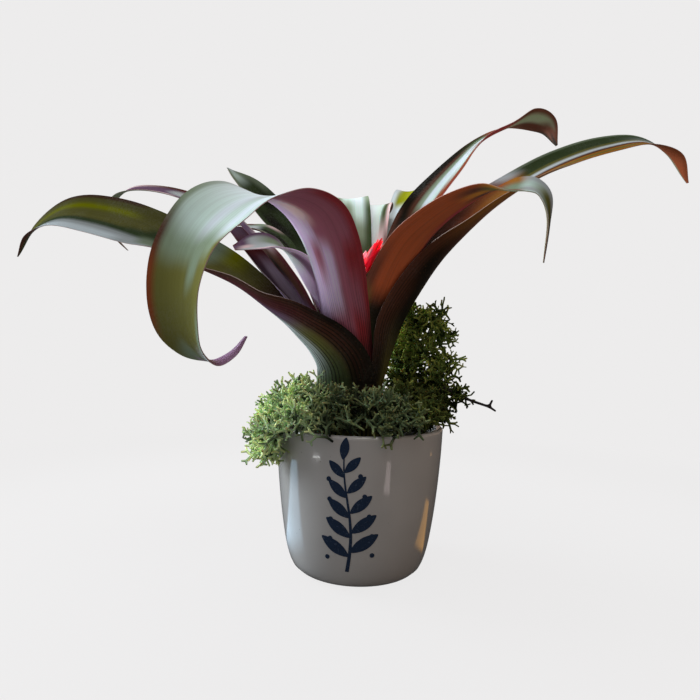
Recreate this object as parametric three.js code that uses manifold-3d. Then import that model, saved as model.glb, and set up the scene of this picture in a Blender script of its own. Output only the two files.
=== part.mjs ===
// A bromeliad with arching strap leaves, standing in a white glazed mug that is filled with
// soil and dressed with branching reindeer moss.
// Millimetres, +Z up. The origin is under the middle of the mug, and -Y is the front.
import * as THREE from 'three';
import { mergeVertices, mergeGeometries } from 'three/addons/utils/BufferGeometryUtils.js';
import Module from 'manifold-3d';

const wasm = await Module();
wasm.setup();

// ---- Driving dimensions -------------------------------------------------------------------
const GAP = 0.3;                 // air between two pieces that touch
const MUG_SIDES = 44;
// The mug's outline as [radius, height]: flat foot, rounded heel, belly, upright lip.
const MUG_OUTSIDE = [[30, 0], [33, 1.2], [35, 3.6], [37, 9], [38.8, 17], [40.8, 30],
  [42.5, 45], [43.8, 61], [44.4, 73.4], [44.1, 74.6], [43.2, 75]];
const MUG_INSIDE = [[41.9, 75], [41, 74.5], [40.6, 73.4], [40, 61], [38.8, 45], [37.2, 30],
  [35, 17], [32.8, 9.5], [29, 6], [24, 5]];
const SOIL_TOP = 64;
const PLANT_X = -5;              // the plant stands a little off the mug's middle
const PLANT_Y = -2;
const FOOT_Z = 59;               // where the leaf sheaths start, inside the soil
const SHEATH_TOP_Z = 97;         // above this the leaves fan out
const SHEATH_PITCH = 1.6;        // from one leaf sheath to the next one inside it
const SHEATH_OUTER = 18;         // radius of the outermost sheath
const LEAF_THICK = 0.8;
const LEAF_STEPS = 23;           // cross-sections along a leaf, above its sheath
const STEM_RADIUS = 4.4;

// ---- Leaves -------------------------------------------------------------------------------
// Each leaf starts as a sheath round the plant's axis: ring 0 is the outermost, az its
// direction and wrap how far it reaches round. Above the sheath come rows of
// [x, y, z, width, cup, heading, tilt]: the midrib point, the width along the curve of the
// cross-section, the angle that this curve turns through, the direction in which the leaf
// runs, and how far its left-hand margin is raised. Angles are in degrees.
const LEAVES = {
  leaf_left: { ring: 0, az: 223, wrap: 184, sides: 8, face: 0x8f9a6c, path: [
    [-19, -15.5, 105, 52, 154, 221, 0], [-25, -15, 114, 45, 136, 216, 0],
    [-36, -12.5, 124, 38, 116, 207, -4], [-49.5, -5.6, 134.7, 35, 102, 165, 4],
    [-65.3, -1.1, 147.2, 37, 97, 157, -8], [-87.5, 4.8, 160.4, 36, 80, 148, -22],
    [-118, 16, 176, 33, 64, 190, -46], [-158, 34, 190, 33, 52, 188, -52],
    [-190, 47, 195, 29, 48, 186, -48], [-214, 56, 186, 18, 44, 184, -38],
    [-226, 60, 170, 2, 40, 182, -30]] },
  leaf_right: { ring: 1, az: -6, wrap: 100, sides: 6, face: 0x5f4a2c, path: [
    [13.5, -4, 105, 30, 100, -10, 0], [16.5, -5.5, 117, 33, 102, -17, 0],
    [20.8, -7, 131, 37, 104, -22, 0], [32.3, -1.6, 150, 44, 103, -1, -17],
    [48.2, 7.4, 172.5, 48, 98, 18, -5], [69.1, 13.9, 195.6, 42, 86, 25, 6],
    [93.7, 21.1, 215.4, 31, 68, 30, 15], [120.5, 33, 232, 25, 53, 37, 29],
    [150, 43, 245, 22, 46, 32, 37], [178, 51, 252, 19, 40, 16, 36],
    [200, 57, 246, 17, 48, 12, 26], [213, 61, 230, 2, 40, 10, 20]] },
  leaf_thin_left: { ring: 1, az: 163, wrap: 94, sides: 4, face: 0x77594a, path: [
    [-20.5, 4, 106, 24, 88, 163, 0], [-23.5, 6.5, 118, 20, 80, 163, 0],
    [-33.5, 13.4, 133.8, 22, 84, 154, -4], [-50.05, 24.7, 151.95, 24, 89, 142, -4],
    [-68.1, 37.3, 174.9, 21.5, 72, 140, -12], [-90.5, 45.8, 198.5, 17, 50, 162, -30],
    [-116, 52, 210, 16, 44, 164, -30], [-138, 56, 215, 14, 40, 166, -30],
    [-155, 60, 215, 12, 38, 168, -30], [-165, 62, 208, 9, 36, 170, -16],
    [-167, 63, 196, 7, 34, 172, -16], [-162, 62, 184, 4, 30, 174, -16],
    [-154, 60, 176, 1.3, 30, 176, -16]] },
  leaf_front: { ring: 2, az: 268, wrap: 126, sides: 6, face: 0x8a6570, path: [
    [-6.5, -17, 106, 30.5, 118, 267, 0], [-8, -18, 116, 29, 108, 264, 0],
    [-10, -22.5, 128, 28.5, 94, 259, 0], [-13, -31, 141, 30, 84, 243, -2],
    [-16.1, -42.2, 153.4, 32, 68, 242, -9], [-19.9, -54.6, 163.6, 33.5, 58, 243, -7],
    [-25.5, -66.9, 170.5, 34.5, 49, 239, -3], [-34.9, -78, 173, 34, 42, 227, -6],
    [-45, -89, 170.3, 37, 43, 225, -20], [-55, -95.2, 162.4, 39, 45, 232, -22],
    [-62.8, -99.3, 149.3, 38, 46, 232, -9], [-65.4, -101.5, 134.1, 35, 47, 229, 2],
    [-64, -101.3, 120.6, 29, 47, 225, 8], [-60.8, -98.6, 112.8, 19, 43, 216, 7],
    [-55.6, -93.6, 109.4, 10.5, 37, 217, -7], [-50, -88, 112.5, 5, 30, 234, -4],
    [-46, -84, 119, 1.4, 30, 234, -4]] },
  leaf_back_right: { ring: 2, az: 56, wrap: 84, sides: 4, face: 0x9aa070, path: [
    [5, 13.5, 108, 20, 78, 56, 0], [6, 17, 124, 20, 74, 56, 0], [9, 25, 144, 20, 68, 58, 0],
    [14, 36, 168, 19, 60, 60, 0], [21.9, 51, 193, 18, 52, 60, 0], [28, 65, 218, 17, 46, 62, 0],
    [33, 78, 222.5, 17, 48, 73, 3], [35, 90, 210, 12, 40, 64, 0], [34, 99, 191, 7, 36, 64, 0],
    [31, 105, 173, 1.5, 34, 64, 0]] },
  leaf_front_right: { ring: 3, az: 308, wrap: 100, sides: 6, face: 0x7d5330, path: [
    [4, -11, 108, 24, 96, 308, 0], [6, -12.7, 122, 26.5, 88, 304, 0],
    [10.5, -15.5, 139, 28, 78, 300, 0], [16.3, -19, 155.7, 26.5, 68, 301, 0],
    [23.4, -25, 168.3, 26, 60, 306, 0], [33.2, -32, 177.5, 25, 54, 315, 0],
    [43.8, -38, 184.5, 23, 50, 324, 0], [54.5, -44, 188.8, 19.5, 48, 330, 8],
    [64.1, -49.4, 188.7, 18, 51, 331, 33], [71.5, -53, 188.1, 15, 46, 316, 35],
    [76.4, -54.9, 183.6, 11.5, 42, 311, 12], [78.2, -55.8, 172, 7.5, 39, 334, 2],
    [77, -55, 155, 1.4, 36, 336, 0]] },
  leaf_shaded: { ring: 3, az: 142, wrap: 80, sides: 4, face: 0x4f5a4c, path: [
    [-16, 7, 108, 19, 80, 144, 0], [-19, 10.5, 122, 19, 76, 148, 0],
    [-27.7, 10.2, 144, 16, 56, 163, -3], [-37, 9.2, 161.2, 14, 42, 163, 0],
    [-47.2, 15.6, 174.9, 18, 49, 152, -6], [-58, 19, 182, 17, 46, 168, -22],
    [-68, 23.5, 185, 12, 42, 172, -24], [-77, 28.5, 187.2, 1.6, 36, 176, -24]] },
  leaf_purple: { ring: 4, az: 205, wrap: 96, sides: 4, face: 0x6f5058, path: [
    [-16, -7.5, 107, 17, 84, 204, 0], [-20.2, -8.5, 120.2, 16, 76, 200, 7],
    [-28.5, -6, 133.9, 15.5, 67, 191, 15], [-37.6, -2.2, 148, 20.1, 71, 183, 15],
    [-48, 1.4, 159.8, 23, 75, 175, 21], [-58.9, 7.9, 172.6, 17, 52, 170, 23],
    [-69, 9.5, 183, 11, 42, 184, 6], [-76, 12.5, 191, 1.6, 36, 182, 0]] },
  leaf_back: { ring: 3, az: 62, wrap: 68, sides: 4, face: 0xb4c2b8, path: [
    [0.5, 10.5, 110, 17, 70, 64, 0], [0.5, 13, 126, 19, 68, 66, 0],
    [0.8, 18.5, 150, 22, 64, 70, 0], [2.5, 26, 175, 24, 58, 74, 0], [5, 35, 196, 23, 50, 74, 0],
    [8.5, 45, 205, 20, 44, 72, 0], [11, 52.5, 205.5, 16, 40, 70, 0],
    [11, 58, 201.5, 8, 38, 72, 0], [11, 62.5, 195, 1.6, 34, 72, 0]] },
  leaf_curl: { ring: 5, az: 235, wrap: 100, sides: 4, face: 0x9a938e, path: [
    [-11, -9, 108, 16, 92, 235, 0], [-13, -10, 122, 15, 80, 234, 0],
    [-20.1, -12.5, 135.8, 17.5, 80, 222, 8], [-26.3, -20.4, 147.9, 17.5, 65, 223, 8],
    [-33.2, -25.8, 157.2, 18, 55, 214, 2], [-42.3, -31, 163.6, 18.5, 51, 203, -25],
    [-51.4, -33.9, 164, 15.5, 53, 214, -38], [-62, -38, 161, 4, 34, 210, -40]] },
  leaf_upper_right: { ring: 5, az: 20, wrap: 100, sides: 4, face: 0x6b4a35, path: [
    [5, 1.5, 112, 18, 96, 20, 0], [7, 2, 128, 20, 92, 22, 0], [11, 2.7, 145.1, 22, 72, 23, 2],
    [16.8, 4.7, 163.2, 25.8, 64, 26, 3], [26, 9, 183.2, 30.3, 59, 32, 4],
    [36.5, 15, 201.2, 31.5, 54, 36, 6], [49.9, 22.5, 219.8, 25, 48, 35, 9],
    [67.1, 28.6, 239.5, 18, 54, 28, 2], [85.7, 38.7, 253.1, 17, 49, 27, 4],
    [102.8, 48.8, 262.2, 19, 58, 24, -20], [116.7, 54.4, 261.6, 15, 63, 16, -25],
    [124, 55, 250, 1.6, 36, 24, 0]] },
  leaf_back_left: { ring: 6, az: 135, wrap: 110, sides: 4, face: 0x87927c, path: [
    [-11, 4, 110, 17, 100, 136, 0], [-14.9, 7, 126, 19, 90, 138, 0],
    [-22, 16.5, 150.5, 20, 76, 142, -6], [-36.5, 33.8, 177.3, 23.2, 74, 117, -22],
    [-54.4, 38.5, 194, 24, 72, 132, -29], [-68.7, 42.2, 210.3, 19.5, 69, 138, -32],
    [-79, 42, 219.5, 12, 60, 152, -30], [-86, 43, 226, 1.4, 34, 152, -6]] },
  leaf_silver: { ring: 7, az: 100, wrap: 180, sides: 6, face: 0xa8bdb2, path: [
    [-6, 5, 112, 22, 160, 100, 0], [-7, 7, 130, 26, 120, 100, 0], [-8, 11, 150, 28, 90, 98, 0],
    [-9, 17, 174, 28, 70, 96, 0], [-10, 27, 196, 28, 56, 94, 0],
    [-10.5, 42, 208, 26, 46, 92, 0], [-11.5, 62, 204, 24, 42, 92, 0],
    [-11, 82, 188, 20, 40, 88, 0], [-11, 97, 165, 12, 38, 88, 0],
    [-10, 105, 142, 1.6, 34, 88, 0]] },
};

// ---- Helpers ------------------------------------------------------------------------------
const rad = THREE.MathUtils.degToRad;
const V = (x, y, z) => new THREE.Vector3(x, y, z);

// A closed geometry as a solid that can be joined and cut.
function solidOf(geometry) {
  const g = (geometry.index ? geometry : geometry.clone()).clone();
  g.deleteAttribute('normal');
  g.deleteAttribute('uv');
  const m = mergeVertices(g, 1e-4);
  const triangles = [];
  for (let i = 0; i < m.index.count; i += 3) {
    const [a, b, c] = [0, 1, 2].map((k) => m.index.getX(i + k));
    if (a !== b && b !== c && c !== a) triangles.push(a, b, c);
  }
  return new wasm.Manifold(new wasm.Mesh({
    numProp: 3,
    vertProperties: new Float32Array(m.attributes.position.array),
    triVerts: new Uint32Array(triangles),
  }));
}

function geometryOf(solid) {
  const mesh = solid.getMesh();
  const g = new THREE.BufferGeometry();
  const position = new Float32Array(mesh.numVert * 3);
  for (let i = 0; i < mesh.numVert; i++) {
    for (let k = 0; k < 3; k++) position[3 * i + k] = mesh.vertProperties[i * mesh.numProp + k];
  }
  g.setAttribute('position', new THREE.BufferAttribute(position, 3));
  g.setIndex(new THREE.BufferAttribute(new Uint32Array(mesh.triVerts), 1));
  return g;
}

// The whole of what holds together, without loose scraps.
function largestPiece(solid) {
  return solid.decompose().sort((a, b) => b.volume() - a.volume())[0];
}

function joined(solids) {
  return wasm.Manifold.union(solids);
}

// Rows of numbers as one smooth curve through them, at n places an equal length apart.
function smoothRows(rows, n) {
  const wide = rows[0].length;
  const at = (i, k) => {
    if (i < 0) return 2 * rows[0][k] - rows[1][k];
    if (i >= rows.length) return 2 * rows.at(-1)[k] - rows.at(-2)[k];
    return rows[i][k];
  };
  const fine = [];
  const parts = (rows.length - 1) * 16;
  for (let s = 0; s <= parts; s++) {
    const i = Math.min(Math.floor(s / 16), rows.length - 2);
    const u = s / 16 - i;
    fine.push(Array.from({ length: wide }, (_, k) => {
      const [a, b, c, d] = [at(i - 1, k), at(i, k), at(i + 1, k), at(i + 2, k)];
      return 0.5 * (2 * b + (c - a) * u + (2 * a - 5 * b + 4 * c - d) * u * u
        + (3 * b - a - 3 * c + d) * u * u * u);
    }));
  }
  const run = [0];
  for (let s = 1; s < fine.length; s++) {
    const [p, q] = [fine[s - 1], fine[s]];
    run.push(run[s - 1] + Math.hypot(q[0] - p[0], q[1] - p[1], q[2] - p[2]));
  }
  const out = [];
  for (let j = 0, s = 0; j < n; j++) {
    const want = (run.at(-1) * j) / (n - 1);
    while (s < run.length - 2 && run[s + 1] < want) s++;
    const u = Math.min(1, (want - run[s]) / (run[s + 1] - run[s]));
    out.push(fine[s].map((v, k) => v + (fine[s + 1][k] - v) * u));
  }
  return out;
}

// A strap that follows rows of [x, y, z, width, cup, heading, tilt], curved across its width,
// with an upper face, an under face and closed margins.
function strapGeometry(line, sides, thick) {
  const steps = line.length - 1;
  const points = line.map((r) => V(r[0], r[1], r[2]));
  const vertices = [];
  line.forEach((row, i) => {
    const along = points[Math.min(i + 1, steps)].clone()
      .sub(points[Math.max(i - 1, 0)]).normalize();
    const [turn, lift] = [rad(row[5] + 90), rad(row[6])];
    const across = V(Math.cos(lift) * Math.cos(turn), Math.cos(lift) * Math.sin(turn),
      Math.sin(lift));
    across.addScaledVector(along, -across.dot(along)).normalize();
    const up = along.clone().cross(across);
    const width = Math.max(row[3], 1.2);
    const bend = rad(Math.max(row[4], 2)) / width;
    for (const side of [1, -1]) {
      for (let j = 0; j <= sides; j++) {
        const a = (j / sides - 0.5) * width * bend;
        const radius = 1 / bend - (side * thick) / 2;
        vertices.push(points[i].clone().addScaledVector(up, 1 / bend - radius * Math.cos(a))
          .addScaledVector(across, radius * Math.sin(a)));
      }
    }
  });
  const row = 2 * (sides + 1);
  const id = (i, j, under) => i * row + (under ? sides + 1 : 0) + j;
  const index = [];
  const quad = (a, b, c, d) => index.push(a, b, c, a, c, d);
  for (let i = 0; i < steps; i++) {
    for (let j = 0; j < sides; j++) {
      quad(id(i, j, 0), id(i + 1, j, 0), id(i + 1, j + 1, 0), id(i, j + 1, 0));
      index.push(id(i, j, 1), id(i + 1, j + 1, 1), id(i + 1, j, 1));
      index.push(id(i, j, 1), id(i, j + 1, 1), id(i + 1, j + 1, 1));
    }
    quad(id(i, 0, 0), id(i, 0, 1), id(i + 1, 0, 1), id(i + 1, 0, 0));
    quad(id(i, sides, 0), id(i + 1, sides, 0), id(i + 1, sides, 1), id(i, sides, 1));
  }
  for (let j = 0; j < sides; j++) {
    quad(id(0, j, 0), id(0, j + 1, 0), id(0, j + 1, 1), id(0, j, 1));
    quad(id(steps, j, 0), id(steps, j, 1), id(steps, j + 1, 1), id(steps, j + 1, 0));
  }
  const g = new THREE.BufferGeometry();
  g.setAttribute('position', new THREE.Float32BufferAttribute(vertices.flatMap((p) => [...p]), 3));
  g.setIndex(index);
  return g;
}

function leafLine({ ring, az, wrap, path }) {
  const radius = SHEATH_OUTER - ring * SHEATH_PITCH;
  const [x, y] = [PLANT_X + radius * Math.cos(rad(az)), PLANT_Y + radius * Math.sin(rad(az))];
  const [foot, top] = [FOOT_Z, SHEATH_TOP_Z]
    .map((z) => [x, y, z, radius * rad(wrap), wrap, az, 0]);
  return [foot, ...smoothRows([top, ...path], LEAF_STEPS)];
}

const part = new THREE.Group();

function add(name, geometry, color, roughness, metalness = 0) {
  const material = new THREE.MeshStandardMaterial({ color, roughness, metalness });
  const mesh = new THREE.Mesh(geometry, material);
  mesh.name = name;
  part.add(mesh);
  return mesh;
}

// ---- The plant ----------------------------------------------------------------------------
for (const [name, leaf] of Object.entries(LEAVES)) {
  add(name, strapGeometry(leafLine(leaf), leaf.sides, LEAF_THICK), leaf.face, 0.45);
}

// A round bar from one point to another, thinner at its far end.
function bar(from, to, radiusFrom, radiusTo, sides) {
  const axis = to.clone().sub(from);
  const g = new THREE.CylinderGeometry(radiusTo, radiusFrom, axis.length(), sides, 1);
  g.applyQuaternion(new THREE.Quaternion().setFromUnitVectors(V(0, 1, 0), axis.clone().normalize()));
  const middle = from.clone().add(to).multiplyScalar(0.5);
  return g.translate(middle.x, middle.y, middle.z);
}

// The short trunk in the middle of the sheaths, and the flower stalk that it ends in.
const STEM_POINTS = [[PLANT_X, PLANT_Y, FOOT_Z], [PLANT_X, PLANT_Y, 112], [-4, -1, 134],
  [0, 1, 152]].map((p) => V(...p));
const STEM_RADII = [STEM_RADIUS, STEM_RADIUS, 2.2, 1.6];

function stemSolid(extra = 0) {
  const bars = [];
  for (let i = 0; i < STEM_POINTS.length - 1; i++) {
    const sink = STEM_POINTS[i].clone();
    if (i > 0) sink.lerp(STEM_POINTS[i - 1], 0.05);
    bars.push(solidOf(bar(sink, STEM_POINTS[i + 1], STEM_RADII[i] + extra,
      STEM_RADII[i + 1] + extra, 8)));
  }
  return joined(bars);
}
add('stem', geometryOf(stemSolid()), 0x6e6a3a, 0.6);

// The flower head: pointed red bracts in two whorls on a short core.
const BLOOM_FOOT = V(0.2, 1.1, 152.4);
function bractSolid(turn, lean, height, width, lift) {
  const heading = rad(turn);
  const rows = [0, 0.35, 0.75, 1].map((t, i) => {
    const out = 1.2 + lean * Math.sin(t * 1.4);
    return [BLOOM_FOOT.x + out * Math.cos(heading) + 6 * t, BLOOM_FOOT.y + out * Math.sin(heading),
      BLOOM_FOOT.z + lift + height * t, width * [0.5, 1, 0.8, 0.16][i], 80 - 30 * t, turn, 0];
  });
  return solidOf(strapGeometry(smoothRows(rows, 5), 2, 0.7));
}
const bracts = [0, 1, 2, 3].map((i) => bractSolid(30 + i * 90, 5, 13 + (i % 2), 8, 1));
const innerBracts = [0, 1].map((i) => bractSolid(75 + i * 180, 2.6, 20 + i, 6.5, 2.5));
const bloomCore = solidOf(bar(BLOOM_FOOT, V(4, 1.4, 168), 2.6, 0.8, 8));
add('bloom', geometryOf(largestPiece(joined([bloomCore, ...bracts, ...innerBracts]))), 0xd4092c, 0.5);

// ---- The mug and the soil -----------------------------------------------------------------
function lathe(profile) {
  const points = profile.map(([r, z]) => new THREE.Vector2(r, z));
  return new THREE.LatheGeometry(points, MUG_SIDES).rotateX(Math.PI / 2);
}
const mugProfile = [[0, 0], ...MUG_OUTSIDE, ...MUG_INSIDE, [0, 5]];
add('mug', lathe(mugProfile), 0xe4e2e0, 0.15);

// The soil fills the mug, and the sheaths stand in a plain hole in it.
const insideRadius = (z) => {
  const wall = [...MUG_INSIDE].reverse();
  const i = Math.min(wall.findIndex(([, h]) => h > z), wall.length - 1);
  const [[r0, z0], [r1, z1]] = [wall[i - 1], wall[i]];
  return r0 + ((r1 - r0) * (z - z0)) / (z1 - z0);
};
const soilProfile = [[0, 5 + GAP], [23.6, 5 + GAP], ...[9.9, 30, SOIL_TOP - 1]
  .map((z) => [insideRadius(z) - GAP - 0.25, z]), [38, SOIL_TOP], [0, SOIL_TOP + 1]];
const hole = bar(V(PLANT_X, PLANT_Y, FOOT_Z - GAP), V(PLANT_X, PLANT_Y, SOIL_TOP + 6),
  SHEATH_OUTER + 0.8, SHEATH_OUTER + 0.8, 32);
add('soil', geometryOf(solidOf(lathe(soilProfile)).subtract(solidOf(hole))), 0x3b2c22, 0.95);

// ---- The moss -----------------------------------------------------------------------------
// Seeded draws, so that every build grows the same moss.
function dice(seed) {
  let a = seed;
  return () => {
    a = (a + 0x6d2b79f5) | 0;
    let t = Math.imul(a ^ (a >>> 15), 1 | a);
    t = (t + Math.imul(t ^ (t >>> 7), 61 | t)) ^ t;
    return ((t ^ (t >>> 14)) >>> 0) / 4294967296;
  };
}

// The least distance between two straight twigs, each as [from, to].
function twigDistance([a, b], [c, d]) {
  const [u, v, w] = [b.clone().sub(a), d.clone().sub(c), a.clone().sub(c)];
  const [uu, uv, vv, uw, vw] = [u.dot(u), u.dot(v), v.dot(v), u.dot(w), v.dot(w)];
  const clamp = (t) => Math.min(1, Math.max(0, t));
  let p = clamp((uv * vw - vv * uw) / Math.max(uu * vv - uv * uv, 1e-9));
  const q = clamp((uv * p + vw) / vv);
  p = clamp((uv * q - uw) / uu);
  return w.addScaledVector(u, p).addScaledVector(v, -q).length();
}

// A moss clump: a lump bent round the mug, and forking sprigs raised from its faces.
class Clump {
  constructor(seed, bend) {
    this.draw = dice(seed);
    const g = new THREE.IcosahedronGeometry(1, 3);
    g.deleteAttribute('normal');
    g.deleteAttribute('uv');
    const m = mergeVertices(g, 1e-4);
    this.points = [];
    for (let i = 0; i < m.attributes.position.count; i++) {
      const unit = new THREE.Vector3().fromBufferAttribute(m.attributes.position, i);
      this.points.push(bend(unit.multiplyScalar(0.84 + 0.3 * this.draw())));
    }
    this.faces = [];
    for (let i = 0; i < m.index.count; i += 3) {
      this.faces.push([0, 1, 2].map((k) => m.index.getX(i + k)));
    }
    this.twigs = [];
  }

  middle(face) {
    return face.reduce((sum, i) => sum.add(this.points[i]), V(0, 0, 0)).divideScalar(3);
  }

  normal([a, b, c]) {
    const [p, q, r] = [a, b, c].map((i) => this.points[i]);
    return q.clone().sub(p).cross(r.clone().sub(p)).normalize();
  }

  // Raises a face by a move, shrunk to a size, and returns its new top.
  raise(face, move, size) {
    const middle = this.middle(face);
    const reach = Math.max(...face.map((i) => this.points[i].distanceTo(middle)));
    const top = face.map((i) => {
      const p = this.points[i].clone().sub(middle).multiplyScalar(size / reach);
      return this.points.push(p.add(middle).add(move)) - 1;
    });
    for (let k = 0; k < 3; k++) {
      const [a, b, c, d] = [face[k], face[(k + 1) % 3], top[(k + 1) % 3], top[k]];
      this.faces.push([a, b, c], [a, c, d]);
    }
    return top;
  }

  // One sprig with a fork on a face, if it has room.
  sprig(face, way, length, size) {
    const { draw, twigs } = this;
    const foot = this.middle(face);
    const knee = foot.clone().addScaledVector(way, length);
    const side = V(draw() - 0.5, draw() - 0.5, draw() - 0.5).cross(way).normalize();
    const spread = 0.45 + 0.35 * draw();
    const arms = [1, -1].map((s) => way.clone().addScaledVector(side, s * spread).normalize()
      .multiplyScalar(length * (0.6 + 0.3 * draw())));
    const mine = [[foot.clone().addScaledVector(way, 1.5), knee],
      ...arms.map((arm) => [knee, knee.clone().add(arm)])];
    if (mine.some((t) => twigs.some((old) => twigDistance(t, old) < 2.6))) return false;
    twigs.push(...mine);
    const top = this.raise(face, way.clone().multiplyScalar(length), size);
    // The top is halved along the line that parts the two arms best.
    const across = [0, 1, 2].map((k) => this.points[top[(k + 1) % 3]].clone()
      .sub(this.points[top[(k + 2) % 3]]).normalize().dot(side));
    const k = across.map(Math.abs).indexOf(Math.max(...across.map(Math.abs)));
    const [a, b, c] = [top[k], top[(k + 1) % 3], top[(k + 2) % 3]];
    const m = this.points.push(this.points[b].clone().lerp(this.points[c], 0.5)) - 1;
    const wall = this.faces.findIndex((f) => f.includes(b) && f.includes(c));
    const other = this.faces[wall].find((i) => i !== b && i !== c);
    this.faces.splice(wall, 1, [other, c, m], [other, m, b]);
    const first = across[k] > 0 ? 0 : 1;
    this.faces.push(this.raise([a, b, m], arms[first], size * 0.5));
    this.faces.push(this.raise([a, m, c], arms[1 - first], size * 0.5));
    return true;
  }

  geometry() {
    const g = new THREE.BufferGeometry();
    const flat = this.points.flatMap((p) => [...p]);
    g.setAttribute('position', new THREE.Float32BufferAttribute(flat, 3));
    return g.setIndex(this.faces.flat());
  }
}

// Moss that leaves the mug, the soil, the sheaths and the other pieces free.
const mugSpace = solidOf(lathe([[0, 40], [45, 40], [44.9, 73.4], [44.5, 75.3], [41.1, 75.3],
  [40.2, 74], [39.7, 61], [38.5, 45], [0, 45]]));
const soilSpace = solidOf(bar(V(0, 0, 30), V(0, 0, SOIL_TOP + 1 + GAP), 40, 40, 48));
const leafSpace = joined(Object.entries(LEAVES)
  .filter(([name]) => ['leaf_left', 'leaf_right', 'leaf_thin_left', 'leaf_back_right',
    'leaf_front_right', 'leaf_upper_right'].includes(name))
  .map(([, leaf]) => solidOf(strapGeometry(leafLine(leaf), leaf.sides, LEAF_THICK + 0.9))));
const sheathSpace = solidOf(bar(V(PLANT_X, PLANT_Y, 50), V(PLANT_X, PLANT_Y, SHEATH_TOP_Z + 3),
  SHEATH_OUTER + 0.9, SHEATH_OUTER + 0.9, 32));

// A dead, dark moss stem that sticks out on the right and ends in a small fork.
const TWIG_POINTS = [[40, 5, 93], [47, 5, 94.5], [54, 3, 91], [61, -2, 88.5], [68, -7, 86.5]];
function twigSolid(radius) {
  const line = smoothRows(TWIG_POINTS, 6).map((p) => V(...p));
  const bars = line.slice(1).map((to, i) => bar(i ? line[i].clone().lerp(line[i - 1], 0.1)
    : line[i], to, radius, radius, 4));
  const end = line.at(-1);
  for (const arm of [V(2, 1, 4), V(3.5, -1, -2.5), V(0.5, -1.5, -4)]) {
    const root = end.clone().addScaledVector(arm, -0.12);
    bars.push(bar(root, end.clone().add(arm), radius * 0.9, radius * 0.5, 4));
  }
  return joined(bars.map(solidOf));
}
const keepOut = joined([mugSpace, soilSpace, leafSpace, sheathSpace, twigSolid(0.8 + 0.4)]);

// The part of a moss clump between two directions round the mug's axis.
function wedge(fromAngle, toAngle) {
  const shape = new THREE.Shape();
  shape.moveTo(0, 0);
  const steps = 6;
  for (let i = 0; i <= steps; i++) {
    const a = rad(fromAngle + ((toAngle - fromAngle) * i) / steps);
    shape.lineTo(120 * Math.cos(a), 120 * Math.sin(a));
  }
  const g = new THREE.ExtrudeGeometry(shape, { depth: 200, bevelEnabled: false, steps: 1 });
  return solidOf(g.translate(0, 0, 20));
}

// Each clump: its seed, the range it fills round the mug, the middle and half-size of its lump
// as [turn, radius, height], and the number, length and thickness of its sprigs.
const MOSS = {
  moss_left: { seed: 11, range: [150, 246], color: 0x7c9468, middle: [207, 41, 74],
    half: [34, 11, 12], sprigs: 50, length: 6.5, size: 1.2 },
  moss_front: { seed: 23, range: [246, 316], color: 0x5f7a4a, middle: [281, 37, 76.5],
    half: [31, 9, 9], sprigs: 44, length: 6, size: 1.2 },
  moss_right: { seed: 37, range: [316, 366], color: 0x43592f, middle: [340, 36, 79],
    half: [20, 9, 11], sprigs: 38, length: 6, size: 1.2 },
  moss_tall: { seed: 41, range: [6, 66], color: 0x3f5a2e, middle: [27, 42, 102],
    half: [12, 7, 35], sprigs: 50, length: 9, size: 1.4 },
  moss_back: { seed: 53, range: [66, 150], color: 0x5d7547, middle: [108, 33, 74],
    half: [36, 9, 8], sprigs: 30, length: 7, size: 1.2 },
};

function mossGeometry({ seed, range, middle, half, sprigs, length, size }) {
  const clump = new Clump(seed, (u) => {
    const turn = rad(middle[0] + half[0] * u.x);
    const radius = middle[1] + half[1] * u.y * -1;
    return V(radius * Math.cos(turn), radius * Math.sin(turn), middle[2] + half[2] * u.z);
  });
  const { draw, faces } = clump;
  const order = faces.map((face) => [draw(), face]).sort((a, b) => a[0] - b[0]);
  let left = sprigs;
  for (const [, face] of order) {
    const out = clump.normal(face);
    const foot = clump.middle(face);
    const away = V(foot.x, foot.y, 0).normalize();
    if (left === 0 || out.dot(away) + out.z < -0.1) continue;
    const way = out.clone().add(V(draw() - 0.5, draw() - 0.5, draw() - 0.3).multiplyScalar(0.5));
    if (clump.sprig(face, way.normalize(), length * (0.75 + 0.5 * draw()), size)) {
      faces.splice(faces.indexOf(face), 1);
      left -= 1;
    }
  }
  const cut = wedge(range[0] + 0.4, range[1] - 0.4);
  return geometryOf(largestPiece(solidOf(clump.geometry()).subtract(keepOut).intersect(cut)));
}
for (const [name, clump] of Object.entries(MOSS)) {
  add(name, mossGeometry(clump), clump.color, 0.95);
}
add('moss_stem', geometryOf(twigSolid(0.8)), 0x2f3a26, 0.9);

export default part;
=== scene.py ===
# %% [markdown]
# # A potted bromeliad in a glazed mug
#
# A small bromeliad stands in a white mug. Its stiff strap leaves wrap round each other
# at the foot and fan out above it, and soft curly moss is tucked in round them.
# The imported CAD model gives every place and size. This lesson puts finer pieces in the
# same places: leaves with veins and thin margins, branching moss, a glazed mug.

# %% Load the frame
import math
import random

import bmesh
import bpy
from mathutils import Matrix, Vector, kdtree, noise


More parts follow.
